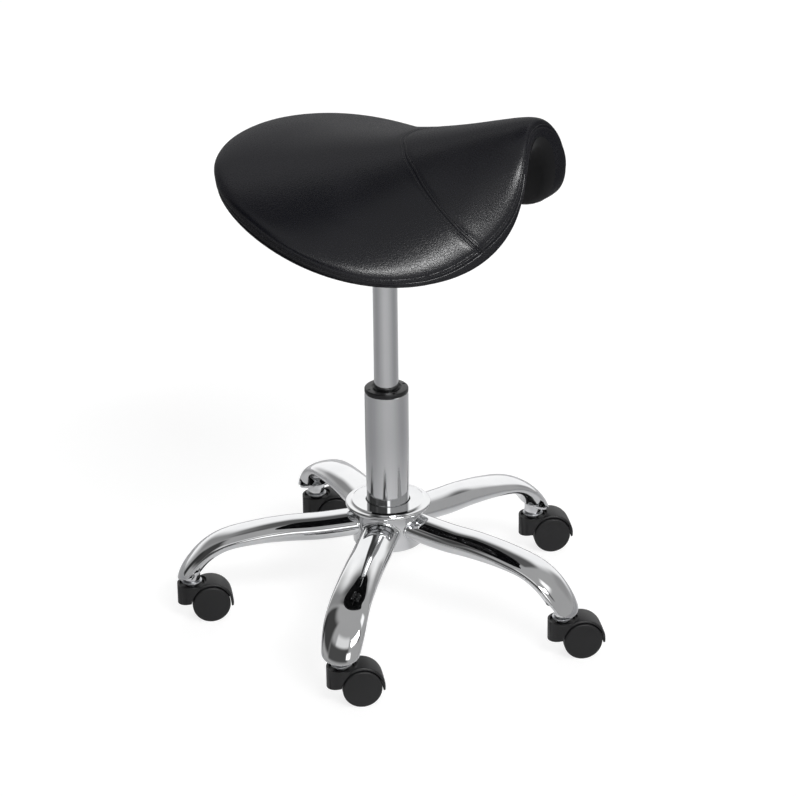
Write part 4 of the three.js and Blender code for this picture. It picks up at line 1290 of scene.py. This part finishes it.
def make_casters():
    trail, heading = caster_places()
    housing, wheel, axle = make_housing(trail), make_wheel(), make_axle(trail)
    facing = {"left": -math.pi / 2, "right": math.pi / 2}
    for index in CASTERS:
        place = stem_place(index)
        body = placed(copied(housing, f"caster_body_{index}"), place, heading)
        dressed(body, NYLON, "caster_nylon", f"caster_{index}", f"caster_housing_{index}")
        pin = placed(copied(axle, f"axle_{index}"), place, heading)
        dressed(pin, ZINC, "zinc_plated_steel", f"caster_{index}", f"caster_axle_{index}")
        for side, tilt in facing.items():
            piece = copied(wheel, f"{side}_wheel_disc_{index}")
            piece.rotation_euler = (tilt, 0, 0)
            piece.location = (trail, 0, WHEEL_RADIUS)
            baked(piece)
            placed(piece, place, heading)
            dressed(piece, NYLON, "caster_nylon", f"{side}_wheel_{index}", f"wheel_{side}_{index}")
    for pattern in (housing, wheel, axle):
        bpy.data.objects.remove(pattern)


# Saddle. A length law has three values: at the rear tip, over the column and at the front tip.

REAR_REACH = 0.180
FRONT_REACH = 0.170
CREST_OVER_PLATE = 0.0573
CREST_LAW = (-0.0157, 0.0, 0.0444)
THICKNESS_LAW = (0.0354, 0.0323, 0.0345)
MIDDLE_THICKNESS = THICKNESS_LAW[1]
SIDE_SLOPE_LAW = (5.7, 26.3, 63.6)
BEND_LENGTH_REAR = 0.1167
BEND_LENGTH_FRONT = 0.0652
# The outline: waves of a cosine for its length and of a sine for its width, as shares of half of each
SADDLE_HALF_LENGTH = 0.2045
LENGTH_SHARES = (0.019, 1, -0.014, -0.114, -0.009, -0.02, -0.02)
SADDLE_HALF_WIDTH = 0.1994
WIDTH_SHARES = (1, 0.152, -0.064, 0, 0.001, -0.022)
TOP_ROLL = 0.0485
BOTTOM_ROLL = 0.0136
WIDEST_SHARE = 0.233
RIM_LIP = 0.005
SHELL_DEPTH = 0.0086
SLOPE_SAMPLES = 24
SADDLE_STEPS = 176
CREST_Z = heights("seat_plate")[1] + CREST_OVER_PLATE


def along_seat(law, forward):
    """A smooth law through its values at the rear tip, over the column and at the front tip."""
    rear, centre, front = law
    from_rear, to_front = forward + REAR_REACH, forward - FRONT_REACH
    length = REAR_REACH + FRONT_REACH
    return (rear * forward * to_front / (REAR_REACH * length)
            - centre * from_rear * to_front / (REAR_REACH * FRONT_REACH)
            + front * forward * from_rear / (FRONT_REACH * length))


def on_top_skin(forward, sideways):
    """The top skin over a place of the flat pattern: forward along the seat, sideways from the crest."""
    slope = math.radians(along_seat(SIDE_SLOPE_LAW, forward))
    share = (forward + REAR_REACH) / (REAR_REACH + FRONT_REACH)
    bend = blend(BEND_LENGTH_REAR, BEND_LENGTH_FRONT, share)
    reach = abs(sideways)
    angles = [slope * math.tanh(reach * (sample + 0.5) / SLOPE_SAMPLES / bend)
              for sample in range(SLOPE_SAMPLES)]
    across = sum(map(math.cos, angles)) * reach / SLOPE_SAMPLES
    drop = sum(map(math.sin, angles)) * reach / SLOPE_SAMPLES
    height = CREST_Z + along_seat(CREST_LAW, forward) - drop
    return Vector((math.copysign(across, sideways), -forward, height))


def skin_normal(forward, sideways):
    step = 0.002
    along = on_top_skin(forward + step, sideways) - on_top_skin(forward - step, sideways)
    across = on_top_skin(forward, sideways + step) - on_top_skin(forward, sideways - step)
    normal = across.cross(along).normalized()
    return normal if normal.z > 0 else -normal


def in_saddle(forward, sideways, depth):
    return on_top_skin(forward, sideways) - skin_normal(forward, sideways) * depth + AXIS


def outline_at(turn):
    """A place of the outline on the flat pattern, turning from the front tip."""
    forward = sum(share * math.cos(wave * turn) for wave, share in enumerate(LENGTH_SHARES))
    sideways = sum(share * math.sin(wave * turn) for wave, share in enumerate(WIDTH_SHARES, 1))
    return Vector((SADDLE_HALF_LENGTH * forward, SADDLE_HALF_WIDTH * sideways))


def inward_at(turn):
    """The direction from the outline into the saddle, on the flat pattern."""
    step = 0.01
    ahead = (outline_at(turn + step) - outline_at(turn - step)).normalized()
    return Vector((-ahead.y, ahead.x))


def saddle_ring(depth_share, below, roll=0.0, inset=0.0, scale=1.0):
    """A closed ring of the saddle: its outline, drawn in and then scaled about the middle. It lies a share of
    the thickness under the top skin, and some more below that."""
    places = []
    for step in range(SADDLE_STEPS):
        turn = 2 * math.pi * step / SADDLE_STEPS
        edge = outline_at(turn)
        thickness = along_seat(THICKNESS_LAW, edge.x * scale)
        drawn_in = roll * along_seat(THICKNESS_LAW, edge.x) / MIDDLE_THICKNESS + inset
        edge = (edge + inward_at(turn) * drawn_in) * scale
        places.append(in_saddle(edge.x, edge.y, thickness * depth_share + below))
    return [*places, places[0]]


def pole(depth_share, below):
    """The place over the column that closes the rings, as a row of its own."""
    return [in_saddle(0, 0, MIDDLE_THICKNESS * depth_share + below)] * (SADDLE_STEPS + 1)


def shares(steps):
    return [(step + 1) / steps for step in range(steps)]


CROWN_RINGS = 20
UPPER_RIM_RINGS = 11
LOWER_RIM_RINGS = 6
INSIDE_RINGS = 5
CROWN_RISE = 0.0026
PUFF_FACING = 0.30
RIM_FILL = 0.0011
ROLL_TIGHTNESS = 1.7


def upper_roll(share):
    """How far in, and how deep as a share of the thickness, the skin lies on its way to the widest line."""
    angle = share * math.pi / 2
    inward = TOP_ROLL * (1 - math.sin(angle))
    return inward, WIDEST_SHARE * (1 - math.cos(angle)) ** ROLL_TIGHTNESS


def lower_roll(share):
    angle = share * math.pi / 2
    return BOTTOM_ROLL * (1 - math.cos(angle)), WIDEST_SHARE + (1 - WIDEST_SHARE) * math.sin(angle)


def pad_rows():
    """The rings of the cushion, from its crown over the rim to the recess under it."""
    rows = [pole(0, -CROWN_RISE)]
    rows += [saddle_ring(0, -CROWN_RISE, TOP_ROLL, scale=share) for share in shares(CROWN_RINGS)]
    for share in shares(UPPER_RIM_RINGS):
        inward, downward = upper_roll(share)
        rows.append(saddle_ring(downward, -CROWN_RISE * (1 - share), inward, -RIM_FILL * share))
    for share in shares(LOWER_RIM_RINGS):
        inward, downward = lower_roll(share)
        rows.append(saddle_ring(downward, 0, inward, -RIM_FILL * (1 - share)))
    rows.append(saddle_ring(1, 0, BOTTOM_ROLL, RIM_LIP))
    rows += [saddle_ring(1, -SHELL_DEPTH, BOTTOM_ROLL, RIM_LIP, share)
             for share in reversed(shares(INSIDE_RINGS))]
    rows.append(pole(1, -SHELL_DEPTH))
    return rows


def on_rim(turn, level):
    """A place on the rim: level -1 is where the top starts to roll, 0 the widest line, 1 the bottom."""
    edge = outline_at(turn)
    thickness = along_seat(THICKNESS_LAW, edge.x)
    drawn_in, depth = upper_roll(1 + level) if level < 0 else lower_roll(level)
    edge += inward_at(turn) * (drawn_in * thickness / MIDDLE_THICKNESS)
    return in_saddle(edge.x, edge.y, thickness * depth)


PUFF_FRAMES = 16
PUFF_CAP = 0.0036
PUFF_EASING = 8


def puff(pad):
    """Fills the cushion: cloth under pressure, held along its widest line and where it is stapled below. The
    foam under the leather lets it move outwards only."""
    rest = [vertex.co.copy() for vertex in pad.data.vertices]
    outward = [vertex.normal.copy() for vertex in pad.data.vertices]
    held = pad.vertex_groups.new(name="stapled")
    held.add([vertex.index for vertex in pad.data.vertices if vertex.normal.z < PUFF_FACING], 1.0, "REPLACE")
    fresh(pad)
    cloth = pad.modifiers.new("cloth", "CLOTH")
    cloth.settings.quality = 6
    cloth.settings.mass = 0.4
    cloth.settings.tension_stiffness = 30
    cloth.settings.compression_stiffness = 30
    cloth.settings.shear_stiffness = 12
    cloth.settings.bending_stiffness = 2
    cloth.settings.use_pressure = True
    cloth.settings.uniform_pressure_force = 4
    cloth.settings.effector_weights.gravity = 0
    cloth.settings.vertex_group_mass = held.name
    cloth.collision_settings.use_collision = False
    scene = bpy.context.scene
    for step in range(1, PUFF_FRAMES + 1):
        scene.frame_set(step)
    bpy.ops.object.modifier_apply(modifier=cloth.name)
    scene.frame_set(1)
    moves = [vertex.co - start for vertex, start in zip(pad.data.vertices, rest)]
    moves = [move * (move.dot(normal) > 0) for move, normal in zip(moves, outward)]
    for _ in range(PUFF_EASING):
        moves = eased_moves(pad, moves)
    for vertex, start, move in zip(pad.data.vertices, rest, moves):
        vertex.co = start + move * min(1, PUFF_CAP / max(move.length, WELD))


def eased_moves(pad, moves):
    """Each move shared with its neighbours, so that the filling shows no lumps."""
    totals = [move.copy() for move in moves]
    counts = [1] * len(moves)
    for edge in pad.data.edges:
        first, second = edge.vertices
        totals[first] += moves[second]
        totals[second] += moves[first]
        counts[first] += 1
        counts[second] += 1
    return [total / count for total, count in zip(totals, counts)]


# Seams. The front panel's seam on the flat pattern, from the crest to the edge seam: forward, sideways
PANEL_SEAM = [
    (0.0270, 0.0), (0.0300, 0.0155), (0.0378, 0.0307), (0.0485, 0.0526), (0.0659, 0.0757), (0.0813, 0.0956),
    (0.0993, 0.1150), (0.1153, 0.1301), (0.1330, 0.1461), (0.1491, 0.1587), (0.1600, 0.1675),
]
SEAM_STEP = 0.0018
SEAM_RAY_START = 0.02
SEAM_VALLEY = 0.0011
SEAM_VALLEY_WIDTH = 0.0046
SEAM_STITCH_OFFSET = 0.0027
PLEAT_START = 0.78
# The seam's groove and the height beside it, along the seam and at its open ends
PANEL_GROOVE = (0.00028, 0.00153)
PANEL_CROWN = (0.00050, 0.00125)
# The seam round the edge: level on the rim, and how it climbs at the corners of the flaps
EDGE_SEAM_STEPS = 560
EDGE_SEAM_LEVEL = 0.18
EDGE_SEAM_CLIMB = 0.58
FLAP_CORNER = math.radians(47)
FLAP_SPREAD = math.radians(26)
EDGE_STITCH_OFFSET = -0.0026
STITCH_PITCH = 0.0038
STITCH_LENGTH = 0.0030
STITCH_RADIUS = 0.00034
BAND_SMOOTH_ANGLE = 75


def surface_of(piece):
    return BVHTree.FromObject(piece, bpy.context.evaluated_depsgraph_get())


def evenly(points, gap):
    """Points a steady gap apart along a line of points."""
    found, left = [points[0]], gap
    for start, end in zip(points, points[1:]):
        length = (end - start).length
        while left < length:
            found.append(start.lerp(end, left / length))
            left += gap
        left -= length
    return found


def panel_seam(surface):
    """Places of the front panel's seam on the leather, from one flap's corner to the other's."""
    near = [Vector((forward, -sideways, 0)) for forward, sideways in reversed(PANEL_SEAM[1:])]
    line = near + [Vector((forward, sideways, 0)) for forward, sideways in PANEL_SEAM]
    steps = 240
    places = []
    for flat in evenly([smooth_point(line, step / steps) for step in range(steps + 1)], SEAM_STEP):
        start = in_saddle(flat.x, flat.y, -SEAM_RAY_START)
        places.append(surface.ray_cast(start, -skin_normal(flat.x, flat.y))[:2])
    return places


def edge_seam(surface):
    """Places of the seam round the edge, on the leather."""
    places = []
    for step in range(EDGE_SEAM_STEPS):
        turn = 2 * math.pi * step / EDGE_SEAM_STEPS
        from_corner = (abs(math.remainder(turn, 2 * math.pi)) - FLAP_CORNER) / FLAP_SPREAD
        level = EDGE_SEAM_LEVEL - EDGE_SEAM_CLIMB * math.exp(-from_corner ** 2)
        places.append(surface.find_nearest(on_rim(turn, level))[:2])
    return places


def draw_in(pad, places, depth, width):
    """Pulls the leather in along a seam, as the thread does."""
    tree = KDTree(len(places))
    for index, (place, _) in enumerate(places):
        tree.insert(place, index)
    tree.balance()
    moves = []
    for vertex in pad.data.vertices:
        _, _, distance = tree.find(vertex.co)
        moves.append(vertex.normal * (-depth * math.exp(-(distance / width) ** 2)))
    for vertex, move in zip(pad.data.vertices, moves):
        vertex.co += move


def with_sides(places, closed):
    """Each place of a line on a surface, and the direction across the line."""
    count = len(places)
    for index, (place, facing) in enumerate(places):
        ahead = places[(index + 1) % count if closed else min(index + 1, count - 1)][0]
        behind = places[index - 1 if closed or index else 0][0]
        yield place, (ahead - behind).cross(facing).normalized()


def strip(name, surface, places, profile, closed=False):
    """A band laid along a line on a surface. Its profile gives, by share of the line, places to the side of
    the line and their heights over the surface."""
    rows = []
    for index, (place, side) in enumerate(with_sides(places, closed)):
        row = []
        for across, height in profile(index / (len(places) - 1)):
            under, normal, _, _ = surface.find_nearest(place + side * across)
            row.append(under + normal * height)
        rows.append([*row, row[0]])
    if closed:
        rows.append(rows[0])
    band = skin(name, rows)
    return smooth(band if closed else capped(band), BAND_SMOOTH_ANGLE)


def beside(surface, places, offset, height, closed=False):
    """A line at an offset from a line on a surface."""
    line = []
    for place, side in with_sides(places, closed):
        under, normal, _, _ = surface.find_nearest(place + side * offset)
        line.append(under + normal * height)
    return line


def stitches(name, line, closed=False):
    """A row of stitches: one stitch, repeated and bent along the line."""
    corners = [*line, line[0]] if closed else line
    length = sum((end - start).length for start, end in zip(corners, corners[1:]))
    count = round(length / STITCH_PITCH)
    fresh()
    bpy.ops.mesh.primitive_uv_sphere_add(segments=8, ring_count=6, radius=STITCH_RADIUS,
                                         location=(length / count / 2, 0, 0), rotation=(0, math.pi / 2, 0))
    row = bpy.context.object
    row.scale.z = STITCH_LENGTH / STITCH_RADIUS / 2
    baked(row, name)
    guide = bpy.data.objects.new("guide", bpy.data.curves.new("guide", "CURVE"))
    bpy.context.collection.objects.link(guide)
    guide.data.dimensions = "3D"
    spline = guide.data.splines.new("POLY")
    spline.points.add(len(line) - 1)
    spline.use_cyclic_u = closed
    for corner, place in zip(spline.points, line):
        corner.co = (*place, 1)
    modify(row, "ARRAY", count=count, use_relative_offset=False, use_constant_offset=True,
           constant_offset_displace=(length / count, 0, 0))
    modify(row, "CURVE", object=guide, deform_axis="POS_X")
    bpy.data.objects.remove(guide)
    return smooth(row, 180)


def panel_seam_profile(share):
    """Two raised bands of leather with the seam's groove between them, opening into a pleat at both ends."""
    lower = abs(share * 2 - 1)
    opening = max(0, (lower - PLEAT_START) / (1 - PLEAT_START))
    groove = blend(*PANEL_GROOVE, opening)
    crown = blend(*PANEL_CROWN, opening)
    shift = groove * 0.6
    half = [(groove * 0.25, 0.00002), (groove, crown * 0.6), (groove + 0.0004, crown),
            (groove + 0.0011, crown * 0.92), (0.0023 + shift, 0.00034), (0.0027 + shift, 0.00010),
            (0.0031 + shift, 0.00026), (0.0040 + shift, 0.00020), (0.0054 + shift, -0.00025),
            (0.0054 + shift, -0.0009)]
    return [(-across, height) for across, height in reversed(half)] + half


def edge_seam_profile(_share):
    """The edge of the top leather, folded and stitched down over the band below it."""
    return [(-0.0056, -0.0009), (-0.0056, -0.00025), (-0.0042, 0.00022), (-0.0032, 0.00030),
            (-0.0026, 0.00012), (-0.0020, 0.00038), (-0.0012, 0.00058), (-0.0005, 0.00048),
            (-0.0001, 0.0), (0.0001, -0.00012), (0.0005, 0.00034), (0.0013, 0.00082), (0.0022, 0.00090),
            (0.0032, 0.00066), (0.0044, 0.00024), (0.0056, -0.00025), (0.0056, -0.0009)]


def make_saddle():
    pad = skin("leather_saddle", pad_rows())
    puff(pad)
    modify(pad, "SUBSURF", levels=1, render_levels=1)
    surface = surface_of(pad)
    for places in (panel_seam(surface), edge_seam(surface)):
        draw_in(pad, places, SEAM_VALLEY, SEAM_VALLEY_WIDTH)
    smooth(pad, 180)
    dressed(pad, LEATHER, "black_leather", "seat", "seat_pad")

    surface = surface_of(pad)
    across, around = panel_seam(surface), edge_seam(surface)
    dressed(strip("panel_seam", surface, across, panel_seam_profile), LEATHER, "black_leather", "seat")
    edge_band = strip("edge_seam", surface, around, edge_seam_profile, closed=True)
    dressed(edge_band, LEATHER, "black_leather", "seat")
    for name, offset in (("front", SEAM_STITCH_OFFSET), ("rear", -SEAM_STITCH_OFFSET)):
        line = beside(surface, across, offset, STITCH_RADIUS * 0.75)
        dressed(stitches(f"{name}_seam_stitches", line), THREAD, "black_leather", "seat")
    line = beside(surface, around, EDGE_STITCH_OFFSET, STITCH_RADIUS * 0.9, closed=True)
    dressed(stitches("edge_stitches", line, closed=True), THREAD, "black_leather", "seat")
    make_shell()


# Under the seat: the shell with its bosses, and the under cover, which goes out over the leather's lip

SHELL_THICKNESS = 0.0065
COVER_THICKNESS = 0.0015
COVER_CLOTH = 0.0009
COVER_LIFT = 0.0002
COVER_EDGE_SHARE = 0.40
COVER_STEPS = 10
LAYER_GAP = 0.0003
SHELL_MARGIN = 0.002
SHELL_EDGE = 0.0006
SHELL_BOSS_RADIUS = 0.009
SHELL_BOSS_EDGE = 0.0005
LAYER_RINGS = 14


def shell_rows():
    """The rings of the shell inside the cushion's lip: its upper face, its edge and its lower face."""
    top = LAYER_GAP - SHELL_DEPTH
    bottom = top + SHELL_THICKNESS
    inset = RIM_LIP + LAYER_GAP + SHELL_MARGIN
    scales = shares(LAYER_RINGS)
    rows = [pole(1, top)]
    rows += [saddle_ring(1, top, BOTTOM_ROLL, inset + SHELL_EDGE, share) for share in scales]
    rows.append(saddle_ring(1, (top + bottom) / 2, BOTTOM_ROLL, inset))
    rows += [saddle_ring(1, bottom, BOTTOM_ROLL, inset + SHELL_EDGE, share) for share in reversed(scales)]
    rows.append(pole(1, bottom))
    return rows


def over_roll(share, lift):
    """A ring that far over the cushion's lower roll."""
    inward, downward = lower_roll(share)
    angle = share * math.pi / 2
    height = MIDDLE_THICKNESS * (1 - WIDEST_SHARE)
    outward, below = Vector((math.cos(angle) / BOTTOM_ROLL, math.sin(angle) / height)).normalized() * lift
    return saddle_ring(downward, below, inward, -outward)


def cover_rows():
    """The rings of the under cover: in the recess, out over the cushion's lip and up its roll to its edge."""
    inset = RIM_LIP + LAYER_GAP
    scales = shares(LAYER_RINGS)
    climb = [blend(1, COVER_EDGE_SHARE, step / COVER_STEPS) for step in range(COVER_STEPS + 1)]
    below = COVER_LIFT + COVER_CLOTH
    rows = [pole(1, -COVER_THICKNESS)]
    rows += [saddle_ring(1, -COVER_THICKNESS, BOTTOM_ROLL, inset, share) for share in scales]
    rows.append(saddle_ring(1, COVER_LIFT, BOTTOM_ROLL, inset))
    rows += [over_roll(share, COVER_LIFT) for share in climb]
    rows += [over_roll(share, below) for share in reversed(climb)]
    rows += [saddle_ring(1, below, BOTTOM_ROLL, inset, share) for share in reversed(scales)]
    rows.append(pole(1, below))
    return rows


def make_shell():
    shell = skin("plywood_shell", shell_rows())
    cover = skin("dust_cover", cover_rows())
    surface = surface_of(shell)
    low = heights("seat_plate")[1] + LAYER_GAP
    bosses = []
    for index in SCREWS:
        x, y, _ = middle_of(f"plate_screw_{index}")
        high = surface.ray_cast(Vector((x, y, low)), Vector((0, 0, 1)))[0].z + SHELL_THICKNESS / 2
        boss = turned("boss", [(SHELL_BOSS_RADIUS, low), (SHELL_BOSS_RADIUS, high)], 48)
        bosses.append(placed(eased(boss, SHELL_BOSS_EDGE, 2), (x, y, 0)))
        hole = cylinder_z(SHELL_BOSS_RADIUS + LAYER_GAP, low, CREST_Z, 48)
        cut(cover, placed(hole, (x, y, 0)))
    shell = joined("plywood_shell", *bosses, shell)
    dressed(smooth(shell, 35), PLYWOOD, "shell_plywood", "seat", "seat_shell")
    dressed(smooth(cover, 35), CLOTH, "dust_cloth", "seat", "under_cover")


# Studio

FLOOR_RADIUS = 9
# The floor to the camera: a glow, and the share that the lamps light and the stool shades
FLOOR_GLOW = 0.80
FLOOR_SHADE = 0.30
# The floor in reflections, with painted light: its tone beside the stool and in line with the camera, and
# its painted glow close by
FLOOR_SIDES = colour(0.42, 0.42, 0.43)
FLOOR_FRONT = colour(0.74, 0.74, 0.75)
FLOOR_MIDDLE = 0.05
FLOOR_NEAR_GLOW = 0.32
FLOOR_NEAR_REACH = (0.15, 0.50)
# The floor to everything else
FLOOR_PLAIN = colour(0.7, 0.7, 0.7)
WHITE = colour(1, 1, 1)
# What the stool sees of the room, one patch over the next: azimuth from the camera's side, elevation, half
# width, half height and softness in degrees, and brightness
ROOM_LEVEL = 0.44
ROOM_PATCHES = [
    (180, 10, 44, 34, 11, 1.20),
    (180, 61, 46, 14, 6, 0.12),
    (-140, 35, 14, 24, 9, 0.30),
    (-92, 38, 30, 22, 6, 0.06),
    (-112, 14, 9, 16, 4, 0.04),
    (-30, 24, 32, 15, 5, 0.08),
    (-22, 45, 22, 6, 3, 0.90),
    (75, 50, 13, 9, 4, 1.35),
    (50, 36, 5, 5, 3, 0.08),
    (124, 18, 12, 10, 6, 0.36),
    (4, 23, 7, 6, 3, 2.2),
    (28, 43, 18, 3.5, 2.0, 25.0),
]
# The lamps: azimuth from the camera's side and elevation in degrees, distance, width and height, and power
SOFTBOXES = [
    ("front softbox", 18, 50, 2.4, (1.0, 0.7), 4),
    ("rear softbox", 165, 48, 2.6, (1.6, 1.0), 8),
]
LAMP_TARGET_HEIGHT = 0.35


def aligned(direction, way):
    """How far a direction points that way."""
    return add_node(direction.tree, "ShaderNodeVectorMath", {"operation": "DOT_PRODUCT"},
                    {0: direction, 1: way}, result=1)


def make_stage(towards):
    fresh()
    bpy.ops.mesh.primitive_circle_add(vertices=96, radius=FLOOR_RADIUS, fill_type="NGON", location=(0, 0, 0))
    floor = bpy.context.object
    floor.name = "studio_floor"
    floor.data.materials.append(floor_paper(towards))


def floor_paper(towards):
    """White paper: pure white to the camera but for the shadows, painted light in reflections, lighter in
    line with the camera and a painted glow near the stool, and clear from below, so that the underside can be
    looked at."""
    material = bpy.data.materials.new("studio paper")
    material.use_nodes = True
    tree = material.node_tree
    tree.nodes.clear()
    path = {name: add_node(tree, "ShaderNodeLightPath", result=name)
            for name in ("Is Camera Ray", "Is Glossy Ray")}
    place = add_node(tree, "ShaderNodeTexCoord", result=3)
    away = add_node(tree, "ShaderNodeVectorMath", {"operation": "LENGTH"}, {0: place}, result=1)
    facing = aligned(place, towards) / (away + FLOOR_MIDDLE)
    seen = add_node(tree, "ShaderNodeEmission", None, {"Color": WHITE, "Strength": FLOOR_GLOW})
    paper = add_node(tree, "ShaderNodeBsdfDiffuse", None, {"Color": colour(*[FLOOR_SHADE] * 3)})
    shown = add_node(tree, "ShaderNodeAddShader", None, {0: seen, 1: paper})
    # Painted light in reflections: the paper lighter in line with the camera, and a painted glow near the
    # stool.
    tone = (facing * facing).mix(FLOOR_SIDES, FLOOR_FRONT)
    near = (1 - away.between(*FLOOR_NEAR_REACH)) * FLOOR_NEAR_GLOW
    lit = add_node(tree, "ShaderNodeEmission", None, {"Color": WHITE, "Strength": near})
    painted_light_paper = add_node(tree, "ShaderNodeBsdfDiffuse", None, {"Color": tone})
    mirrored = add_node(tree, "ShaderNodeAddShader", None, {0: lit, 1: painted_light_paper})
    plain = add_node(tree, "ShaderNodeBsdfDiffuse", None, {"Color": FLOOR_PLAIN})
    unseen = add_node(tree, "ShaderNodeMixShader", None, {0: path["Is Glossy Ray"], 1: plain, 2: mirrored})
    paper_side = add_node(tree, "ShaderNodeMixShader", None, {0: path["Is Camera Ray"], 1: unseen, 2: shown})
    from_below = add_node(tree, "ShaderNodeNewGeometry", result="Backfacing")
    clear = add_node(tree, "ShaderNodeBsdfTransparent")
    surface = add_node(tree, "ShaderNodeMixShader", None, {0: from_below, 1: paper_side, 2: clear})
    add_node(tree, "ShaderNodeOutputMaterial", None, {"Surface": surface})
    return material


def studio_world(towards):
    """A white backdrop to the camera, and the studio's sweep, screens and softbox to the stool."""
    world = bpy.data.worlds.new("studio")
    world.use_nodes = True
    bpy.context.scene.world = world
    tree = world.node_tree
    tree.nodes.clear()
    camera_ray = add_node(tree, "ShaderNodeLightPath", result="Is Camera Ray")
    direction = add_node(tree, "ShaderNodeTexCoord", result=0)
    height = add_node(tree, "ShaderNodeSeparateXYZ", None, {0: direction}, result=2)
    leftwards = Vector((-towards.y, towards.x, 0))
    azimuth = aligned(direction, leftwards).math("ARCTAN2", aligned(direction, towards)) * (180 / math.pi)
    elevation = height.math("ARCSINE") * (180 / math.pi)
    room = ROOM_LEVEL
    for turn, lift, half_width, half_height, softness, level in ROOM_PATCHES:
        across = (azimuth - turn).math("WRAP", 180, -180).math("ABSOLUTE")
        upright = (elevation - lift).math("ABSOLUTE")
        mask = ((1 - across.between(half_width - softness, half_width + softness))
                * (1 - upright.between(half_height - softness, half_height + softness)))
        room = mask.mix(room, level, "FLOAT")
    strength = camera_ray.mix(room, 1.0, "FLOAT")
    background = add_node(tree, "ShaderNodeBackground", None, {"Color": WHITE, "Strength": strength})
    add_node(tree, "ShaderNodeOutputWorld", None, {"Surface": background})


def add_softbox(towards, name, azimuth, elevation, distance, size, power):
    """A rectangular lamp aimed at the stool."""
    turn = math.atan2(towards.y, towards.x) + math.radians(azimuth)
    lift = math.radians(elevation)
    out = Vector((math.cos(turn) * math.cos(lift), math.sin(turn) * math.cos(lift), math.sin(lift)))
    target = AXIS + Vector((0, 0, LAMP_TARGET_HEIGHT))
    fresh()
    bpy.ops.object.light_add(type="AREA", location=target + out * distance)
    lamp = bpy.context.object
    lamp.name = name
    lamp.rotation_euler = out.to_track_quat("Z", "Y").to_euler()
    lamp.data.shape = "RECTANGLE"
    lamp.data.size, lamp.data.size_y = size
    lamp.data.energy = power
    lamp.visible_glossy = False


def make_studio(towards):
    make_stage(towards)
    studio_world(towards)
    for softbox in SOFTBOXES:
        add_softbox(towards, *softbox)
    bpy.context.scene.view_settings.view_transform = "Standard"


TOWARDS = make_camera()
make_studio(TOWARDS)
make_hub()
make_arms()
make_lift()
make_lift_inside()
make_mechanism()
make_casters()
make_saddle()
